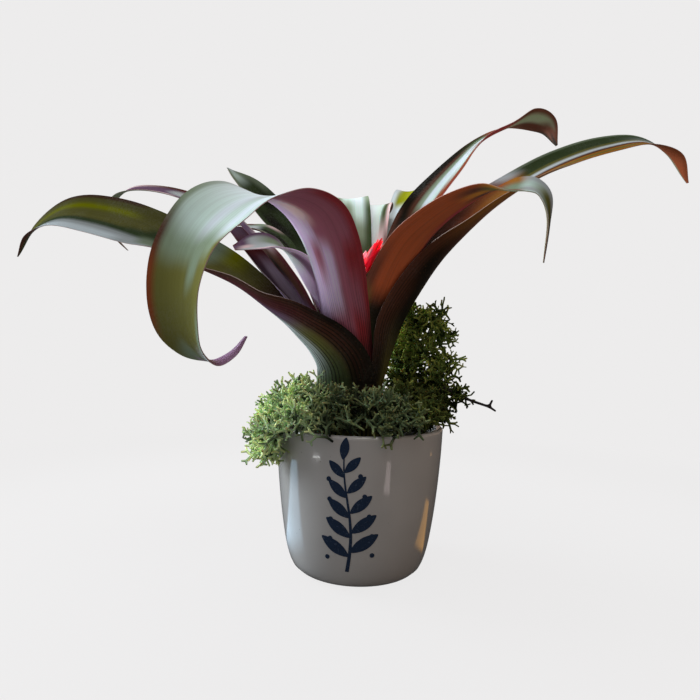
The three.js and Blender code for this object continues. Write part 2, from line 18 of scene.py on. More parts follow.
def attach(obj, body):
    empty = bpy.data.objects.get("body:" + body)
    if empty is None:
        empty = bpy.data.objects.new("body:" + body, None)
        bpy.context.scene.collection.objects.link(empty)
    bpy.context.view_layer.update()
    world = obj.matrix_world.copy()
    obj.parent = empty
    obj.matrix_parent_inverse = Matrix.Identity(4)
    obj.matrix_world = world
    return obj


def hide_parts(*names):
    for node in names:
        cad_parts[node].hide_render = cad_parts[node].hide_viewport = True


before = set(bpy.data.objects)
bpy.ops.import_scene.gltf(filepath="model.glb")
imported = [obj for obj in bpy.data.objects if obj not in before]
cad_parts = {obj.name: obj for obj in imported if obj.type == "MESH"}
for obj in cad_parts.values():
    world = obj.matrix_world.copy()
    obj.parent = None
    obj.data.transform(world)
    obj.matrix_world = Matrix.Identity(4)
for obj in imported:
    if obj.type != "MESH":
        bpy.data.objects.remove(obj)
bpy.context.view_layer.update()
bpy.ops.object.select_all(action="DESELECT")
MM = 0.001

# %% [markdown]
# ## The camera
#
# The snapshot was taken close by, from a little above the moss, with the lens level and
# the hand a degree and a half off plumb. A near camera with a wide lens makes the leaves
# that come forward look large, so its distance matters more than its angle. The columns
# of the camera's matrix are its right, its up and the way back from what it looks at.

# %% Set the camera
EYE = Vector((-6.3, -282, 115.5)) * MM
PITCH, ROLL = math.radians(0.2), math.radians(1.5)
FOCAL_PIXELS, PICTURE_PIXELS, SENSOR = 520, 700, 36

forward = Vector((0, math.cos(PITCH), -math.sin(PITCH)))
level = Vector((1, 0, 0))
plumb = level.cross(forward)
right = level * math.cos(ROLL) + plumb * math.sin(ROLL)
up = plumb * math.cos(ROLL) - level * math.sin(ROLL)
bpy.ops.object.camera_add()
camera = bpy.context.object
camera.name = "camera"
camera.data.sensor_width = SENSOR
camera.data.lens = FOCAL_PIXELS / PICTURE_PIXELS * SENSOR
camera.data.clip_start = 0.01
turn = Matrix((right, up, -forward)).transposed()
camera.matrix_world = Matrix.Translation(EYE) @ turn.to_4x4()
bpy.context.scene.camera = camera
bpy.ops.object.select_all(action="DESELECT")
print("camera: lens", round(camera.data.lens, 2), "mm")

# %% [markdown]
# ## A workbench of small helpers
#
# Most pieces end in the same way: the mesh gets its name, its material slots, smooth
# shading and its place in the frame. A board is a sheet of shader nodes that is wired
# by short calls, so that each material reads like a recipe.

# %% Finish a piece
def settle(piece, name, nodes, materials=(), angle=40):
    """Names a piece, shades it and hands it to the frame in place of its CAD nodes."""
    if piece.mode == "EDIT":
        bpy.ops.object.mode_set(mode="OBJECT")
    bpy.ops.object.select_all(action="DESELECT")
    piece.select_set(True)
    bpy.context.view_layer.objects.active = piece
    bpy.ops.object.shade_smooth_by_angle(angle=math.radians(angle))
    piece.name = piece.data.name = name
    if materials:
        piece.data.materials.clear()
        for material in materials:
            piece.data.materials.append(material)
    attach(piece, "root")
    if nodes:
        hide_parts(*nodes)
    piece.select_set(False)
    print(name, len(piece.data.polygons), "faces")


def apply_modifier(piece, kind, **settings):
    """Adds a modifier, sets it and applies it."""
    bpy.context.view_layer.objects.active = piece
    bpy.ops.object.modifier_add(type=kind)
    modifier = piece.modifiers[-1]
    for key, value in settings.items():
        setattr(modifier, key, value)
    bpy.ops.object.modifier_apply(modifier=modifier.name)


# %% Shader boards
def colour(red, green, blue):
    """A paint named by its 0-255 screen values, as the linear colour a shader wants."""
    def linear(v):
        v /= 255
        return v / 12.92 if v <= 0.04045 else ((v + 0.055) / 1.055) ** 2.4
    return (linear(red), linear(green), linear(blue), 1)


def put(tree, kind, wires=(), **settings):
    """Adds one shader node: settings are its own, wires are (socket, value or output)."""
    made = tree.nodes.new("ShaderNode" + kind)
    for key, value in settings.items():
        setattr(made, key, value)
    for socket, value in wires:
        if isinstance(value, bpy.types.NodeSocket):
            tree.links.new(value, made.inputs[socket])
        else:
            made.inputs[socket].default_value = value
    return made


def mixed(tree, share, first, second, how="MIX"):
    """A mix of two colours; share is 0 for the first and 1 for the second."""
    blend = put(tree, "Mix", ((0, share), (6, first), (7, second)),
                data_type="RGBA", blend_type=how)
    return blend.outputs[2]


def ranged(tree, value, low, high, to_low=0.0, to_high=1.0):
    """Stretches a value from one range to another, with soft ends."""
    step = put(tree, "MapRange", ((0, value), (1, low), (2, high), (3, to_low), (4, to_high)),
               interpolation_type="SMOOTHSTEP")
    return step.outputs[0]


def recipe(name, **constants):
    """A new material: its tree and its Principled shader, with plain values set on it."""
    material = bpy.data.materials.new(name)
    material.use_nodes = True
    shader = material.node_tree.nodes["Principled BSDF"]
    for key, value in constants.items():
        shader.inputs[key.replace("_", " ").title().replace("Ior", "IOR")].default_value = value
    return material, material.node_tree, shader


def wire(tree, shader, **sockets):
    """Joins outputs to the named sockets of a shader."""
    for key, output in sockets.items():
        tree.links.new(output, shader.inputs[key.replace("_", " ").title()])


print("a middle grey of 128 is", round(colour(128, 128, 128)[0], 3), "to a shader")

# %% [markdown]
# ## How a leaf is laid out
#
# A bromeliad leaf is a stiff strap with a round channel along it. At the foot it wraps
# the plant as a sheath, then it widens, leans out and droops to a point. Each leaf is
# written down as rows from foot to tip: a place, the width measured round the curve, how
# many degrees it curves across, the way it heads and how far its left margin is raised.
# A smooth curve through the rows gives the leaf between them. The rows are those of the
# CAD model, so each blade lies where the solid blade lies.

# %% The rows of the leaves
PLANT_AXIS = (-5, -2)
FOOT_Z, SHEATH_TOP_Z = 59, 97
SHEATH_OUTER, SHEATH_PITCH = 18, 1.6
SHEATH_HEIGHTS = (FOOT_Z, 68, 77, 85, 91, SHEATH_TOP_Z)
LEAF_THICK = 0.8
# each leaf: its sheath's (ring, turn, wrap in degrees), then the rows of its blade, which are
# (x, y, z, width, curve across, heading, tilt) in mm and degrees
LEAVES = {
    "leaf_left": ((0, 223, 184), [
        (-19, -15.5, 105, 52, 154, 221, 0), (-25, -15, 114, 45, 136, 216, 0),
        (-36, -12.5, 124, 38, 116, 207, -4), (-49.5, -5.6, 134.7, 35, 102, 165, 4),
        (-65.3, -1.1, 147.2, 37, 97, 157, -8), (-87.5, 4.8, 160.4, 36, 80, 148, -22),
        (-118, 16, 176, 33, 64, 190, -46), (-158, 34, 190, 33, 52, 188, -52),
        (-190, 47, 195, 29, 48, 186, -48), (-214, 56, 186, 18, 44, 184, -38),
        (-226, 60, 170, 2, 40, 182, -30)]),
    "leaf_right": ((1, -6, 100), [
        (13.5, -4, 105, 30, 100, -10, 0), (16.5, -5.5, 117, 33, 102, -17, 0),
        (20.8, -7, 131, 37, 104, -22, 0), (32.3, -1.6, 150, 44, 103, -1, -17),
        (48.2, 7.4, 172.5, 48, 98, 18, -5), (69.1, 13.9, 195.6, 42, 86, 25, 6),
        (93.7, 21.1, 215.4, 31, 68, 30, 15), (120.5, 33, 232, 25, 53, 37, 29),
        (150, 43, 245, 22, 46, 32, 37), (178, 51, 252, 19, 40, 16, 36),
        (200, 57, 246, 17, 48, 12, 26), (213, 61, 230, 2, 40, 10, 20)]),
    "leaf_thin_left": ((1, 163, 94), [
        (-20.5, 4, 106, 24, 88, 163, 0), (-23.5, 6.5, 118, 20, 80, 163, 0),
        (-33.5, 13.4, 133.8, 22, 84, 154, -4), (-50.05, 24.7, 151.95, 24, 89, 142, -4),
        (-68.1, 37.3, 174.9, 21.5, 72, 140, -12), (-90.5, 45.8, 198.5, 17, 50, 162, -30),
        (-116, 52, 210, 16, 44, 164, -30), (-138, 56, 215, 14, 40, 166, -30),
        (-155, 60, 215, 12, 38, 168, -30), (-165, 62, 208, 9, 36, 170, -16),
        (-167, 63, 196, 7, 34, 172, -16), (-162, 62, 184, 4, 30, 174, -16),
        (-154, 60, 176, 1.3, 30, 176, -16)]),
    "leaf_front": ((2, 268, 126), [
        (-6.5, -17, 106, 30.5, 118, 267, 0), (-8, -18, 116, 29, 108, 264, 0),
        (-10, -22.5, 128, 28.5, 94, 259, 0), (-13, -31, 141, 30, 84, 243, -2),
        (-16.1, -42.2, 153.4, 32, 68, 242, -9), (-19.9, -54.6, 163.6, 33.5, 58, 243, -7),
        (-25.5, -66.9, 170.5, 34.5, 49, 239, -3), (-34.9, -78, 173, 34, 42, 227, -6),
        (-45, -89, 170.3, 37, 43, 225, -20), (-55, -95.2, 162.4, 39, 45, 232, -22),
        (-62.8, -99.3, 149.3, 38, 46, 232, -9), (-65.4, -101.5, 134.1, 35, 47, 229, 2),
        (-64, -101.3, 120.6, 29, 47, 225, 8), (-60.8, -98.6, 112.8, 19, 43, 216, 7),
        (-55.6, -93.6, 109.4, 10.5, 37, 217, -7), (-50, -88, 112.5, 5, 30, 234, -4),
        (-46, -84, 119, 1.4, 30, 234, -4)]),
    "leaf_back_right": ((2, 56, 84), [
        (5, 13.5, 108, 20, 78, 56, 0), (6, 17, 124, 20, 74, 56, 0),
        (9, 25, 144, 20, 68, 58, 0), (14, 36, 168, 19, 60, 60, 0),
        (21.9, 51, 193, 18, 52, 60, 0), (28, 65, 218, 17, 46, 62, 0),
        (33, 78, 222.5, 17, 48, 73, 3), (35, 90, 210, 12, 40, 64, 0),
        (34, 99, 191, 7, 36, 64, 0), (31, 105, 173, 1.5, 34, 64, 0)]),
    "leaf_front_right": ((3, 308, 100), [
        (4, -11, 108, 24, 96, 308, 0), (6, -12.7, 122, 26.5, 88, 304, 0),
        (10.5, -15.5, 139, 28, 78, 300, 0), (16.3, -19, 155.7, 26.5, 68, 301, 0),
        (23.4, -25, 168.3, 26, 60, 306, 0), (33.2, -32, 177.5, 25, 54, 315, 0),
        (43.8, -38, 184.5, 23, 50, 324, 0), (54.5, -44, 188.8, 19.5, 48, 330, 8),
        (64.1, -49.4, 188.7, 18, 51, 331, 33), (71.5, -53, 188.1, 15, 46, 316, 35),
        (76.4, -54.9, 183.6, 11.5, 42, 311, 12), (78.2, -55.8, 172, 7.5, 39, 334, 2),
        (77, -55, 155, 1.4, 36, 336, 0)]),
    "leaf_shaded": ((3, 142, 80), [
        (-16, 7, 108, 19, 80, 144, 0), (-19, 10.5, 122, 19, 76, 148, 0),
        (-27.7, 10.2, 144, 16, 56, 163, -3), (-37, 9.2, 161.2, 14, 42, 163, 0),
        (-47.2, 15.6, 174.9, 18, 49, 152, -6), (-58, 19, 182, 17, 46, 168, -22),
        (-68, 23.5, 185, 12, 42, 172, -24), (-77, 28.5, 187.2, 1.6, 36, 176, -24)]),
    "leaf_purple": ((4, 205, 96), [
        (-16, -7.5, 107, 17, 84, 204, 0), (-20.2, -8.5, 120.2, 16, 76, 200, 7),
        (-28.5, -6, 133.9, 15.5, 67, 191, 15), (-37.6, -2.2, 148, 20.1, 71, 183, 15),
        (-48, 1.4, 159.8, 23, 75, 175, 21), (-58.9, 7.9, 172.6, 17, 52, 170, 23),
        (-69, 9.5, 183, 11, 42, 184, 6), (-76, 12.5, 191, 1.6, 36, 182, 0)]),
    "leaf_back": ((3, 62, 68), [
        (0.5, 10.5, 110, 17, 70, 64, 0), (0.5, 13, 126, 19, 68, 66, 0),
        (0.8, 18.5, 150, 22, 64, 70, 0), (2.5, 26, 175, 24, 58, 74, 0),
        (5, 35, 196, 23, 50, 74, 0), (8.5, 45, 205, 20, 44, 72, 0),
        (11, 52.5, 205.5, 16, 40, 70, 0), (11, 58, 201.5, 8, 38, 72, 0),
        (11, 62.5, 195, 1.6, 34, 72, 0)]),
    "leaf_curl": ((5, 235, 100), [
        (-11, -9, 108, 16, 92, 235, 0), (-13, -10, 122, 15, 80, 234, 0),
        (-20.1, -12.5, 135.8, 17.5, 80, 222, 8), (-26.3, -20.4, 147.9, 17.5, 65, 223, 8),
        (-33.2, -25.8, 157.2, 18, 55, 214, 2), (-42.3, -31, 163.6, 18.5, 51, 203, -25),
        (-51.4, -33.9, 164, 15.5, 53, 214, -38), (-62, -38, 161, 4, 34, 210, -40)]),
    "leaf_upper_right": ((5, 20, 100), [
        (5, 1.5, 112, 18, 96, 20, 0), (7, 2, 128, 20, 92, 22, 0),
        (11, 2.7, 145.1, 22, 72, 23, 2), (16.8, 4.7, 163.2, 25.8, 64, 26, 3),
        (26, 9, 183.2, 30.3, 59, 32, 4), (36.5, 15, 201.2, 31.5, 54, 36, 6),
        (49.9, 22.5, 219.8, 25, 48, 35, 9), (67.1, 28.6, 239.5, 18, 54, 28, 2),
        (85.7, 38.7, 253.1, 17, 49, 27, 4), (102.8, 48.8, 262.2, 19, 58, 24, -20),
        (116.7, 54.4, 261.6, 15, 63, 16, -25), (124, 55, 250, 1.6, 36, 24, 0)]),
    "leaf_back_left": ((6, 135, 110), [
        (-11, 4, 110, 17, 100, 136, 0), (-14.9, 7, 126, 19, 90, 138, 0),
        (-22, 16.5, 150.5, 20, 76, 142, -6), (-36.5, 33.8, 177.3, 23.2, 74, 117, -22),
        (-54.4, 38.5, 194, 24, 72, 132, -29), (-68.7, 42.2, 210.3, 19.5, 69, 138, -32),
        (-79, 42, 219.5, 12, 60, 152, -30), (-86, 43, 226, 1.4, 34, 152, -6)]),
    "leaf_silver": ((7, 100, 180), [
        (-6, 5, 112, 22, 160, 100, 0), (-7, 7, 130, 26, 120, 100, 0),
        (-8, 11, 150, 28, 90, 98, 0), (-9, 17, 174, 28, 70, 96, 0),
        (-10, 27, 196, 28, 56, 94, 0), (-10.5, 42, 208, 26, 46, 92, 0),
        (-11.5, 62, 204, 24, 42, 92, 0), (-11, 82, 188, 20, 40, 88, 0),
        (-11, 97, 165, 12, 38, 88, 0), (-10, 105, 142, 1.6, 34, 88, 0)]),
}
print("leaves:", len(LEAVES))


# %% A smooth curve through rows
FINE_STEPS = 16


def smooth_rows(rows, count):
    """Rows of numbers as one curve through them, at places an equal length apart."""
    rows = [tuple(2 * a - b for a, b in zip(rows[0], rows[1])), *rows,
            tuple(2 * a - b for a, b in zip(rows[-1], rows[-2]))]
    fine = []
    for i in range(1, len(rows) - 2):
        for s in range(FINE_STEPS):
            u = s / FINE_STEPS
            fine.append([0.5 * (2 * b + (c - a) * u + (2 * a - 5 * b + 4 * c - d) * u * u
                                + (3 * b - a - 3 * c + d) * u ** 3)
                         for a, b, c, d in zip(*rows[i - 1:i + 3])])
    fine.append(list(rows[-2]))
    run = [0]
    for p, q in zip(fine, fine[1:]):
        run.append(run[-1] + math.dist(p[:3], q[:3]))
    out, s = [], 0
    for j in range(count):
        want = run[-1] * j / (count - 1)
        while s < len(run) - 2 and run[s + 1] < want:
            s += 1
        u = min(1, (want - run[s]) / (run[s + 1] - run[s]))
        out.append([a + (b - a) * u for a, b in zip(fine[s], fine[s + 1])])
    return out, run[-1]


def leaf_line(shape, path, count):
    """The whole leaf, from the foot of its sheath to its tip."""
    ring, turn, wrap = shape
    radius = SHEATH_OUTER - ring * SHEATH_PITCH
    x = PLANT_AXIS[0] + radius * math.cos(math.radians(turn))
    y = PLANT_AXIS[1] + radius * math.sin(math.radians(turn))
    sheath = [(x, y, z, radius * math.radians(wrap), wrap, turn, 0)
              for z in SHEATH_HEIGHTS]
    return smooth_rows([*sheath, *path], count)


print("leaf_front is", round(leaf_line(*LEAVES["leaf_front"], 200)[1]), "mm long")

# %% [markdown]
# ## Laying a flat grid along the rows
#
# A grid primitive is the flat blank of a leaf, as if cut from a sheet, and it brings its
# own UV map: along the blade and across it. Its points are then carried to the rows. The
# cross-section is a part of a circle that keeps its width, so the sheet is bent and not
# stretched. The margins get a small seeded wave, because no grown leaf is dead straight.

# %% Bend a blank to its rows
LEAST_WIDTH, LEAST_CURVE = 0.5, 2
WIDTH_WANDER, RIPPLES = 0.012, 9


def bend_blank(line, along, across, seed, wave):
    """A grid of along x across faces, laid on a line of rows and rippled along its margins."""
    bpy.ops.mesh.primitive_grid_add(x_subdivisions=along, y_subdivisions=across, size=1)
    blank = bpy.context.object
    last = len(line) - 1
    places = [Vector(row[:3]) for row in line]
    sections = []
    for i, row in enumerate(line):
        ahead = (places[min(i + 1, last)] - places[max(i - 1, 0)]).normalized()
        side_turn, lift = math.radians(row[5] + 90), math.radians(row[6])
        side = Vector((math.cos(lift) * math.cos(side_turn),
                       math.cos(lift) * math.sin(side_turn), math.sin(lift)))
        side = (side - ahead * side.dot(ahead)).normalized()
        wander = WIDTH_WANDER * noise.noise(Vector((i * 0.05, seed, 0)))
        width = max(row[3], LEAST_WIDTH) * (1 + wander)
        sections.append((places[i], side, ahead.cross(side), width,
                         math.radians(max(row[4], LEAST_CURVE)) / width))
    for point in blank.data.vertices:
        u, v = point.co.x + 0.5, point.co.y + 0.5
        place, side, above, width, bend = sections[round(u * last)]
        angle = (v - 0.5) * width * bend
        edge = (2 * v - 1) ** 2
        row_of_noise = seed + (3 if v > 0.5 else 8)
        ripple = wave * edge * noise.noise(Vector((u * RIPPLES, row_of_noise, 0)))
        point.co = MM * (place + above * ((1 - math.cos(angle)) / bend + ripple)
                         + side * math.sin(angle) / bend)
    return blank


print("a blank is never narrower than", LEAST_WIDTH, "mm")

# %% [markdown]
# ## Painting the leaves
#
# This kind is grown for its colour. Each blade runs from striped olive at the sheath to
# wine red or rust, and its upper face has a bloom of silver scales that looks mint in
# window light. A flat colour can't do that, and a picture is not used here. So a painter's
# method serves: a short list of named paints, and for each face a few stops along the
# blade. A stop names the paints across the blade, from the left margin to the right one.
# The stops also hold painted light: lilac bands are painted highlights, pale mint and
# silver bands are partly the bloom and partly painted highlights, and night paint where a
# blade lies in shade is painted shade. The paint goes into a colour attribute, which
# travels with the mesh.

# %% The paints
PAINTS = {name: Vector(colour(*value)[:3]) for name, value in {
    "mint": (196, 218, 210), "ice": (212, 224, 230), "silver": (176, 184, 186),
    "sage": (130, 146, 122), "olive": (108, 106, 55), "lime": (138, 142, 16),
    "bottle": (60, 74, 46), "night": (30, 26, 20), "bark": (84, 52, 40),
    "rust": (134, 68, 40), "gold": (156, 104, 40), "wine": (92, 40, 44),
    "crimson": (132, 44, 52), "mauve": (142, 84, 102), "plum": (104, 78, 102),
    "lilac": (178, 158, 186), "rose": (216, 190, 192),
}.items()}
# each face of a leaf: stops of (place along the leaf, paints across it); lilac bands are
# painted highlights, mint and silver bands partly so, and night paint is painted shade
COATS = {
    "leaf_left": {
        "upper": [(0, "olive"), (0.3, "wine bark"), (0.38, "rust olive olive"),
                  (0.43, "olive olive lime"), (0.47, "silver sage sage"),
                  (0.53, "sage bottle bottle"), (0.58, "silver sage bottle olive olive"),
                  (0.62, "silver silver bottle olive olive olive"),
                  (0.68, "ice ice silver bottle olive olive lime olive bark"),
                  (0.8, "ice ice silver bottle olive olive lime olive bark"),
                  (1, "silver bottle bottle olive olive")],
        # the silver and ice band on this face is a painted highlight along the lit lower edge
        "under": [(0, "olive"), (0.13, "night night bottle bottle bottle bottle bottle"),
                  (0.2, "night bark olive silver ice ice ice"),
                  (0.27, "bark wine plum ice ice ice ice"),
                  (0.36, "bark wine plum ice ice lilac ice"), (0.5, "wine plum lilac"),
                  (1, "bark bottle silver")]},
    "leaf_right": {
        # night paint on both faces of this leaf is painted shade
        "upper": [(0, "night"), (0.34, "night night bark"), (0.44, "bark rust bark"),
                  (0.52, "rust gold rust"), (0.56, "ice gold gold rust"),
                  (0.6, "sage bottle bottle bottle olive ice bark gold olive gold gold"),
                  (0.8, "sage bottle bottle bottle olive ice bark gold olive gold gold"),
                  (1, "bottle ice rust bark")],
        "under": [(0, "olive"), (0.12, "olive olive night"), (0.24, "night night bark"),
                  (0.3, "night bark night night bark"), (0.5, "night bark rust gold"),
                  (1, "sage rust rust")]},
    "leaf_thin_left": {
        "upper": [(0, "bottle"), (0.22, "wine plum night"), (0.32, "wine plum lilac lilac"),
                  (0.4, "wine plum lilac plum"), (0.47, "wine wine wine"),
                  (0.54, "plum plum wine"), (0.6, "plum silver wine"),
                  (0.69, "plum silver wine"), (0.73, "rose plum plum bark"),
                  (0.84, "plum bark plum rose"), (1, "bark")],
        "under": [(0, "bottle"), (0.2, "plum night"), (0.3, "lilac plum plum wine"),
                  (0.4, "night wine lilac wine"), (0.5, "wine wine bark"),
                  (0.9, "sage sage bark"), (1, "bark")]},
    "leaf_front": {
        "upper": [(0, "wine olive wine"), (0.4, "wine plum wine"), (0.56, "plum rose ice"),
                  (0.6, "ice ice silver ice ice ice silver"),
                  (0.7, "mint ice mint ice mint mint mint sage"),
                  (0.75, "olive sage sage sage sage sage bark"),
                  (0.79, "olive olive sage olive olive olive rust"),
                  (0.83, "olive olive olive olive olive olive rust"),
                  (0.88, "sage olive olive olive olive olive"),
                  (0.915, "ice silver sage sage sage"), (0.935, "ice ice lilac ice"),
                  (1, "plum lilac")],
        # the lilac band on this face is a painted highlight
        "under": [(0, "olive"), (0.14, "bottle olive bottle olive"),
                  (0.21, "wine wine mauve plum night"),
                  (0.26, "wine crimson mauve mauve plum night"),
                  (0.32, "crimson mauve mauve lilac lilac lilac plum"),
                  (0.42, "crimson crimson mauve lilac mauve lilac silver"),
                  (0.48, "crimson mauve mauve mauve lilac lilac lilac"),
                  (0.54, "crimson mauve mauve rose lilac lilac"),
                  (0.6, "mauve mauve lilac rose"), (0.9, "bark olive plum"), (0.94, "plum"),
                  (1, "plum")]},
    "leaf_back_right": {
        "upper": [(0, "sage"), (0.5, "silver ice silver"), (0.65, "silver ice silver"),
                  (0.68, "ice lime lime lime"), (0.76, "silver lime lime"), (1, "olive bark")],
        "under": [(0, "olive"), (0.6, "sage"), (0.76, "lime olive lime"),
                  (1, "bark olive bark")]},
    "leaf_front_right": {
        "upper": [(0, "olive bark olive"), (0.5, "rust"), (0.74, "rust rust gold"),
                  (0.8, "gold sage rust"), (0.83, "silver mint silver mint"),
                  (0.88, "silver olive sage ice"), (0.93, "bottle olive silver ice"),
                  (1, "bark sage bark")],
        # night paint at the foot of this face is painted shade
        "under": [(0, "olive"), (0.22, "night bottle olive"),
                  (0.36, "night night night olive"), (0.43, "bark rust rust bark"),
                  (0.55, "wine rust rust rust rust"),
                  (0.66, "wine crimson rust rust rust rust"),
                  (0.72, "wine rust bark gold bark rust"), (0.76, "rose gold bark olive gold"),
                  (0.8, "gold gold sage"), (1, "bark sage bark")]},
    "leaf_shaded": {
        "upper": [(0, "bottle"), (0.6, "rose bottle bottle"),
                  (0.8, "rose silver bottle night bottle bottle"),
                  (0.87, "silver sage night bottle rose"), (0.91, "sage silver sage"),
                  (0.96, "wine sage wine"), (1, "bark")],
        "under": [(0, "bottle"), (0.6, "bark bottle bottle"), (1, "bark sage bark")]},
    "leaf_purple": {
        "upper": [(0, "bark wine bark"), (0.5, "lilac wine wine"), (0.8, "lilac plum wine"),
                  (1, "plum wine wine")],
        "under": [(0, "bottle"), (0.36, "night bottle olive"), (0.42, "plum lilac lilac"),
                  (0.5, "wine plum lilac plum"), (0.58, "wine bark plum wine wine"),
                  (0.7, "wine bark night wine wine rose"), (0.8, "rose bark wine wine"),
                  (0.9, "plum wine"), (1, "silver wine wine")]},
    "leaf_back": {
        "upper": [(0, "bottle"), (0.55, "sage bottle sage"),
                  (0.66, "bark sage mint ice rose bark"),
                  (0.8, "bark mint ice ice mint bottle rose"), (1, "bark sage bark")],
        "under": [(0, "olive"), (1, "bark sage bark")]},
    "leaf_curl": {
        "upper": [(0, "plum"), (0.6, "plum lilac"), (0.8, "lilac plum silver"),
                  (0.86, "rose silver sage plum"), (0.92, "rose silver silver silver plum"),
                  (0.96, "silver rose plum plum"), (1, "wine plum wine")],
        "under": [(0, "bark wine bark"), (0.5, "night plum night"),
                  (0.57, "plum plum lilac rose"), (0.7, "lilac plum lilac lilac lilac"),
                  (0.78, "lilac plum silver silver rose"), (0.86, "lilac silver sage silver"),
                  (1, "wine")]},
    "leaf_upper_right": {
        "upper": [(0, "bark"), (0.3, "night bark bark"),
                  (0.44, "bark bark wine bark rust rust"),
                  (0.5, "bark night bark bark rust rust rust"),
                  (0.54, "night night bark sage ice mint rust rust crimson"),
                  (0.66, "night night bark sage ice ice mint rust rust"),
                  (0.75, "bark bottle sage ice rust rust wine rust"), (0.8, "rust rust wine"),
                  (1, "bark")],
        "under": [(0, "olive"), (0.5, "rust bark rust"), (0.76, "rust rust crimson"),
                  (0.86, "rust bark sage bark"), (0.93, "bark bark sage bark"),
                  (0.97, "night bark bark"), (1, "night")]},
    "leaf_back_left": {
        "upper": [(0, "bottle"), (0.45, "night night bottle"),
                  (0.6, "night bottle night bottle"), (0.76, "bottle night bottle bottle"),
                  (0.84, "bottle bottle night bottle"), (0.9, "sage bottle bottle sage"),
                  (0.96, "sage mint sage"), (1, "sage ice")],
        "under": [(0, "bottle"), (0.85, "bottle bottle sage"), (0.93, "sage bottle"),
                  (1, "bark bottle bark")]},
    "leaf_silver": {
        "upper": [(0, "night"), (0.3, "night"), (0.42, "bottle bottle bottle"),
                  (0.48, "bark bottle bottle sage bottle"),
                  (0.54, "bark sage sage mint bottle"), (0.6, "bark sage mint ice sage"),
                  (0.66, "bark mint ice mint bottle"), (0.8, "sage mint sage"), (1, "bark")],
        "under": [(0, "olive"), (0.6, "bark sage bark"), (1, "bark")]},
}
# painted light and shade: how much the paint of the upper and the under face is scaled,
# up most where little light comes and below 1 where a face gets too much light
COMMON_PAINTED_LIGHT_GAIN = (1, 1.6)
PAINTED_LIGHT_GAIN = {"leaf_front": (1.3, 2.6), "leaf_front_right": (1, 3.8),
            "leaf_upper_right": (1, 3.6), "leaf_curl": (1, 3.2), "leaf_right": (1, 1.6),
            "leaf_left": (0.58, 1.5), "leaf_back": (2.1, 1.6), "leaf_silver": (1.6, 1.6),
            "leaf_back_right": (1.4, 1.6), "leaf_back_left": (0.8, 1.2)}
BAND_WANDER = 0.02
STRIPES_FROM, STRIPES_TO = 0.12, 0.42
print("painted leaves:", len(COATS), "with", len(PAINTS), "paints")


# %% Brush the paints on
def eased(value, low, high):
    """0 below low and 1 above high, with soft ends."""
    t = min(1, max(0, (value - low) / (high - low)))
    return t * t * (3 - 2 * t)


def across_stop(names, v):
    """The paint at v, from the left margin (1) to the right one (0), out of a stop's names."""
    place = (1 - v) * (len(names) - 1)
    index = min(int(place), max(0, len(names) - 2))
    return PAINTS[names[index]].lerp(PAINTS[names[min(index + 1, len(names) - 1)]],
                                     eased(place - index, 0.2, 0.8))


def coat_at(stops, u, v):
    """The paint at a place along (u) and across (v) a face."""
    below = max((s for s in stops if s[0] <= u), key=lambda s: s[0], default=stops[0])
    above = min((s for s in stops if s[0] > u), key=lambda s: s[0], default=stops[-1])
    share = eased(u, below[0], above[0]) if above[0] > below[0] else 0
    return across_stop(below[1].split(), v).lerp(across_stop(above[1].split(), v), share)


def brush(piece, attribute, stops, seed, strength):
    """Fills a colour attribute from the stops, by the piece's own UV map.

    The bands wander a little, strength scales the paint as painted light and shade, and
    alpha says how strongly the sheath is striped.
    """
    layer = piece.data.color_attributes.new(attribute, "FLOAT_COLOR", "POINT")
    uv = piece.data.uv_layers.active.data
    for loop in piece.data.loops:
        u, v = uv[loop.index].uv
        wander = noise.noise(Vector((u * 5, v * 3, seed)))
        paint = coat_at(stops, min(1, max(0, u + BAND_WANDER * wander)), v)
        layer.data[loop.vertex_index].color = (*(paint * strength),
                                               1 - eased(u, STRIPES_FROM, STRIPES_TO))


print("half way up, the middle of leaf_left is painted",
      [round(v, 2) for v in coat_at(COATS["leaf_left"]["upper"], 0.5, 0.5)])

# %% [markdown]
# ## Leaf faces
#
# Close up, a blade has fine ribs from foot to tip, longer dark streaks between them, broad
# soft bands, and a dusty bloom of scales. The sheaths have thin dark stripes as well. All
# of them follow the leaf, so they read its UV map, squeezed across and stretched along.
# One node group makes them, and each leaf material mixes them in its own strength. The
# dusty bloom keeps the upper face matt, and the under face has a faint satin wax.

# %% The grain of a leaf
TIP_FADE, TIP_LEFT = (0.72, 0.92), 0.06
grain = bpy.data.node_groups.new("leaf grain", "ShaderNodeTree")
for label, value in (("Ribs", 26), ("Streak Length", 3)):
    socket = grain.interface.new_socket(label, in_out="INPUT", socket_type="NodeSocketFloat")
    socket.default_value = value
for label in ("Streaks", "Rib Height", "Bloom", "Specks", "Bands", "Stripes"):
    grain.interface.new_socket(label, in_out="OUTPUT", socket_type="NodeSocketFloat")
gate_in = grain.nodes.new("NodeGroupInput")
gate_out = grain.nodes.new("NodeGroupOutput")
blade = put(grain, "TexCoord")
split = put(grain, "SeparateXYZ", ((0, blade.outputs["UV"]),))
along = put(grain, "Math", ((0, split.outputs[0]), (1, gate_in.outputs["Streak Length"])),
            operation="MULTIPLY")
ribs = put(grain, "Math", ((0, split.outputs[1]), (1, gate_in.outputs["Ribs"])),
           operation="MULTIPLY")
laid = put(grain, "CombineXYZ", ((0, along.outputs[0]), (1, ribs.outputs[0])))
streak = put(grain, "TexNoise", (("Vector", laid.outputs[0]), ("Scale", 1.0), ("Detail", 4.0),
                                 ("Roughness", 0.62), ("Distortion", 0.15)))
streak_mask = ranged(grain, streak.outputs[0], 0.38, 0.66)
broad = put(grain, "TexNoise", (("Vector", laid.outputs[0]), ("Scale", 0.3), ("Detail", 2.0)))
band_mask = ranged(grain, broad.outputs[0], 0.42, 0.62)
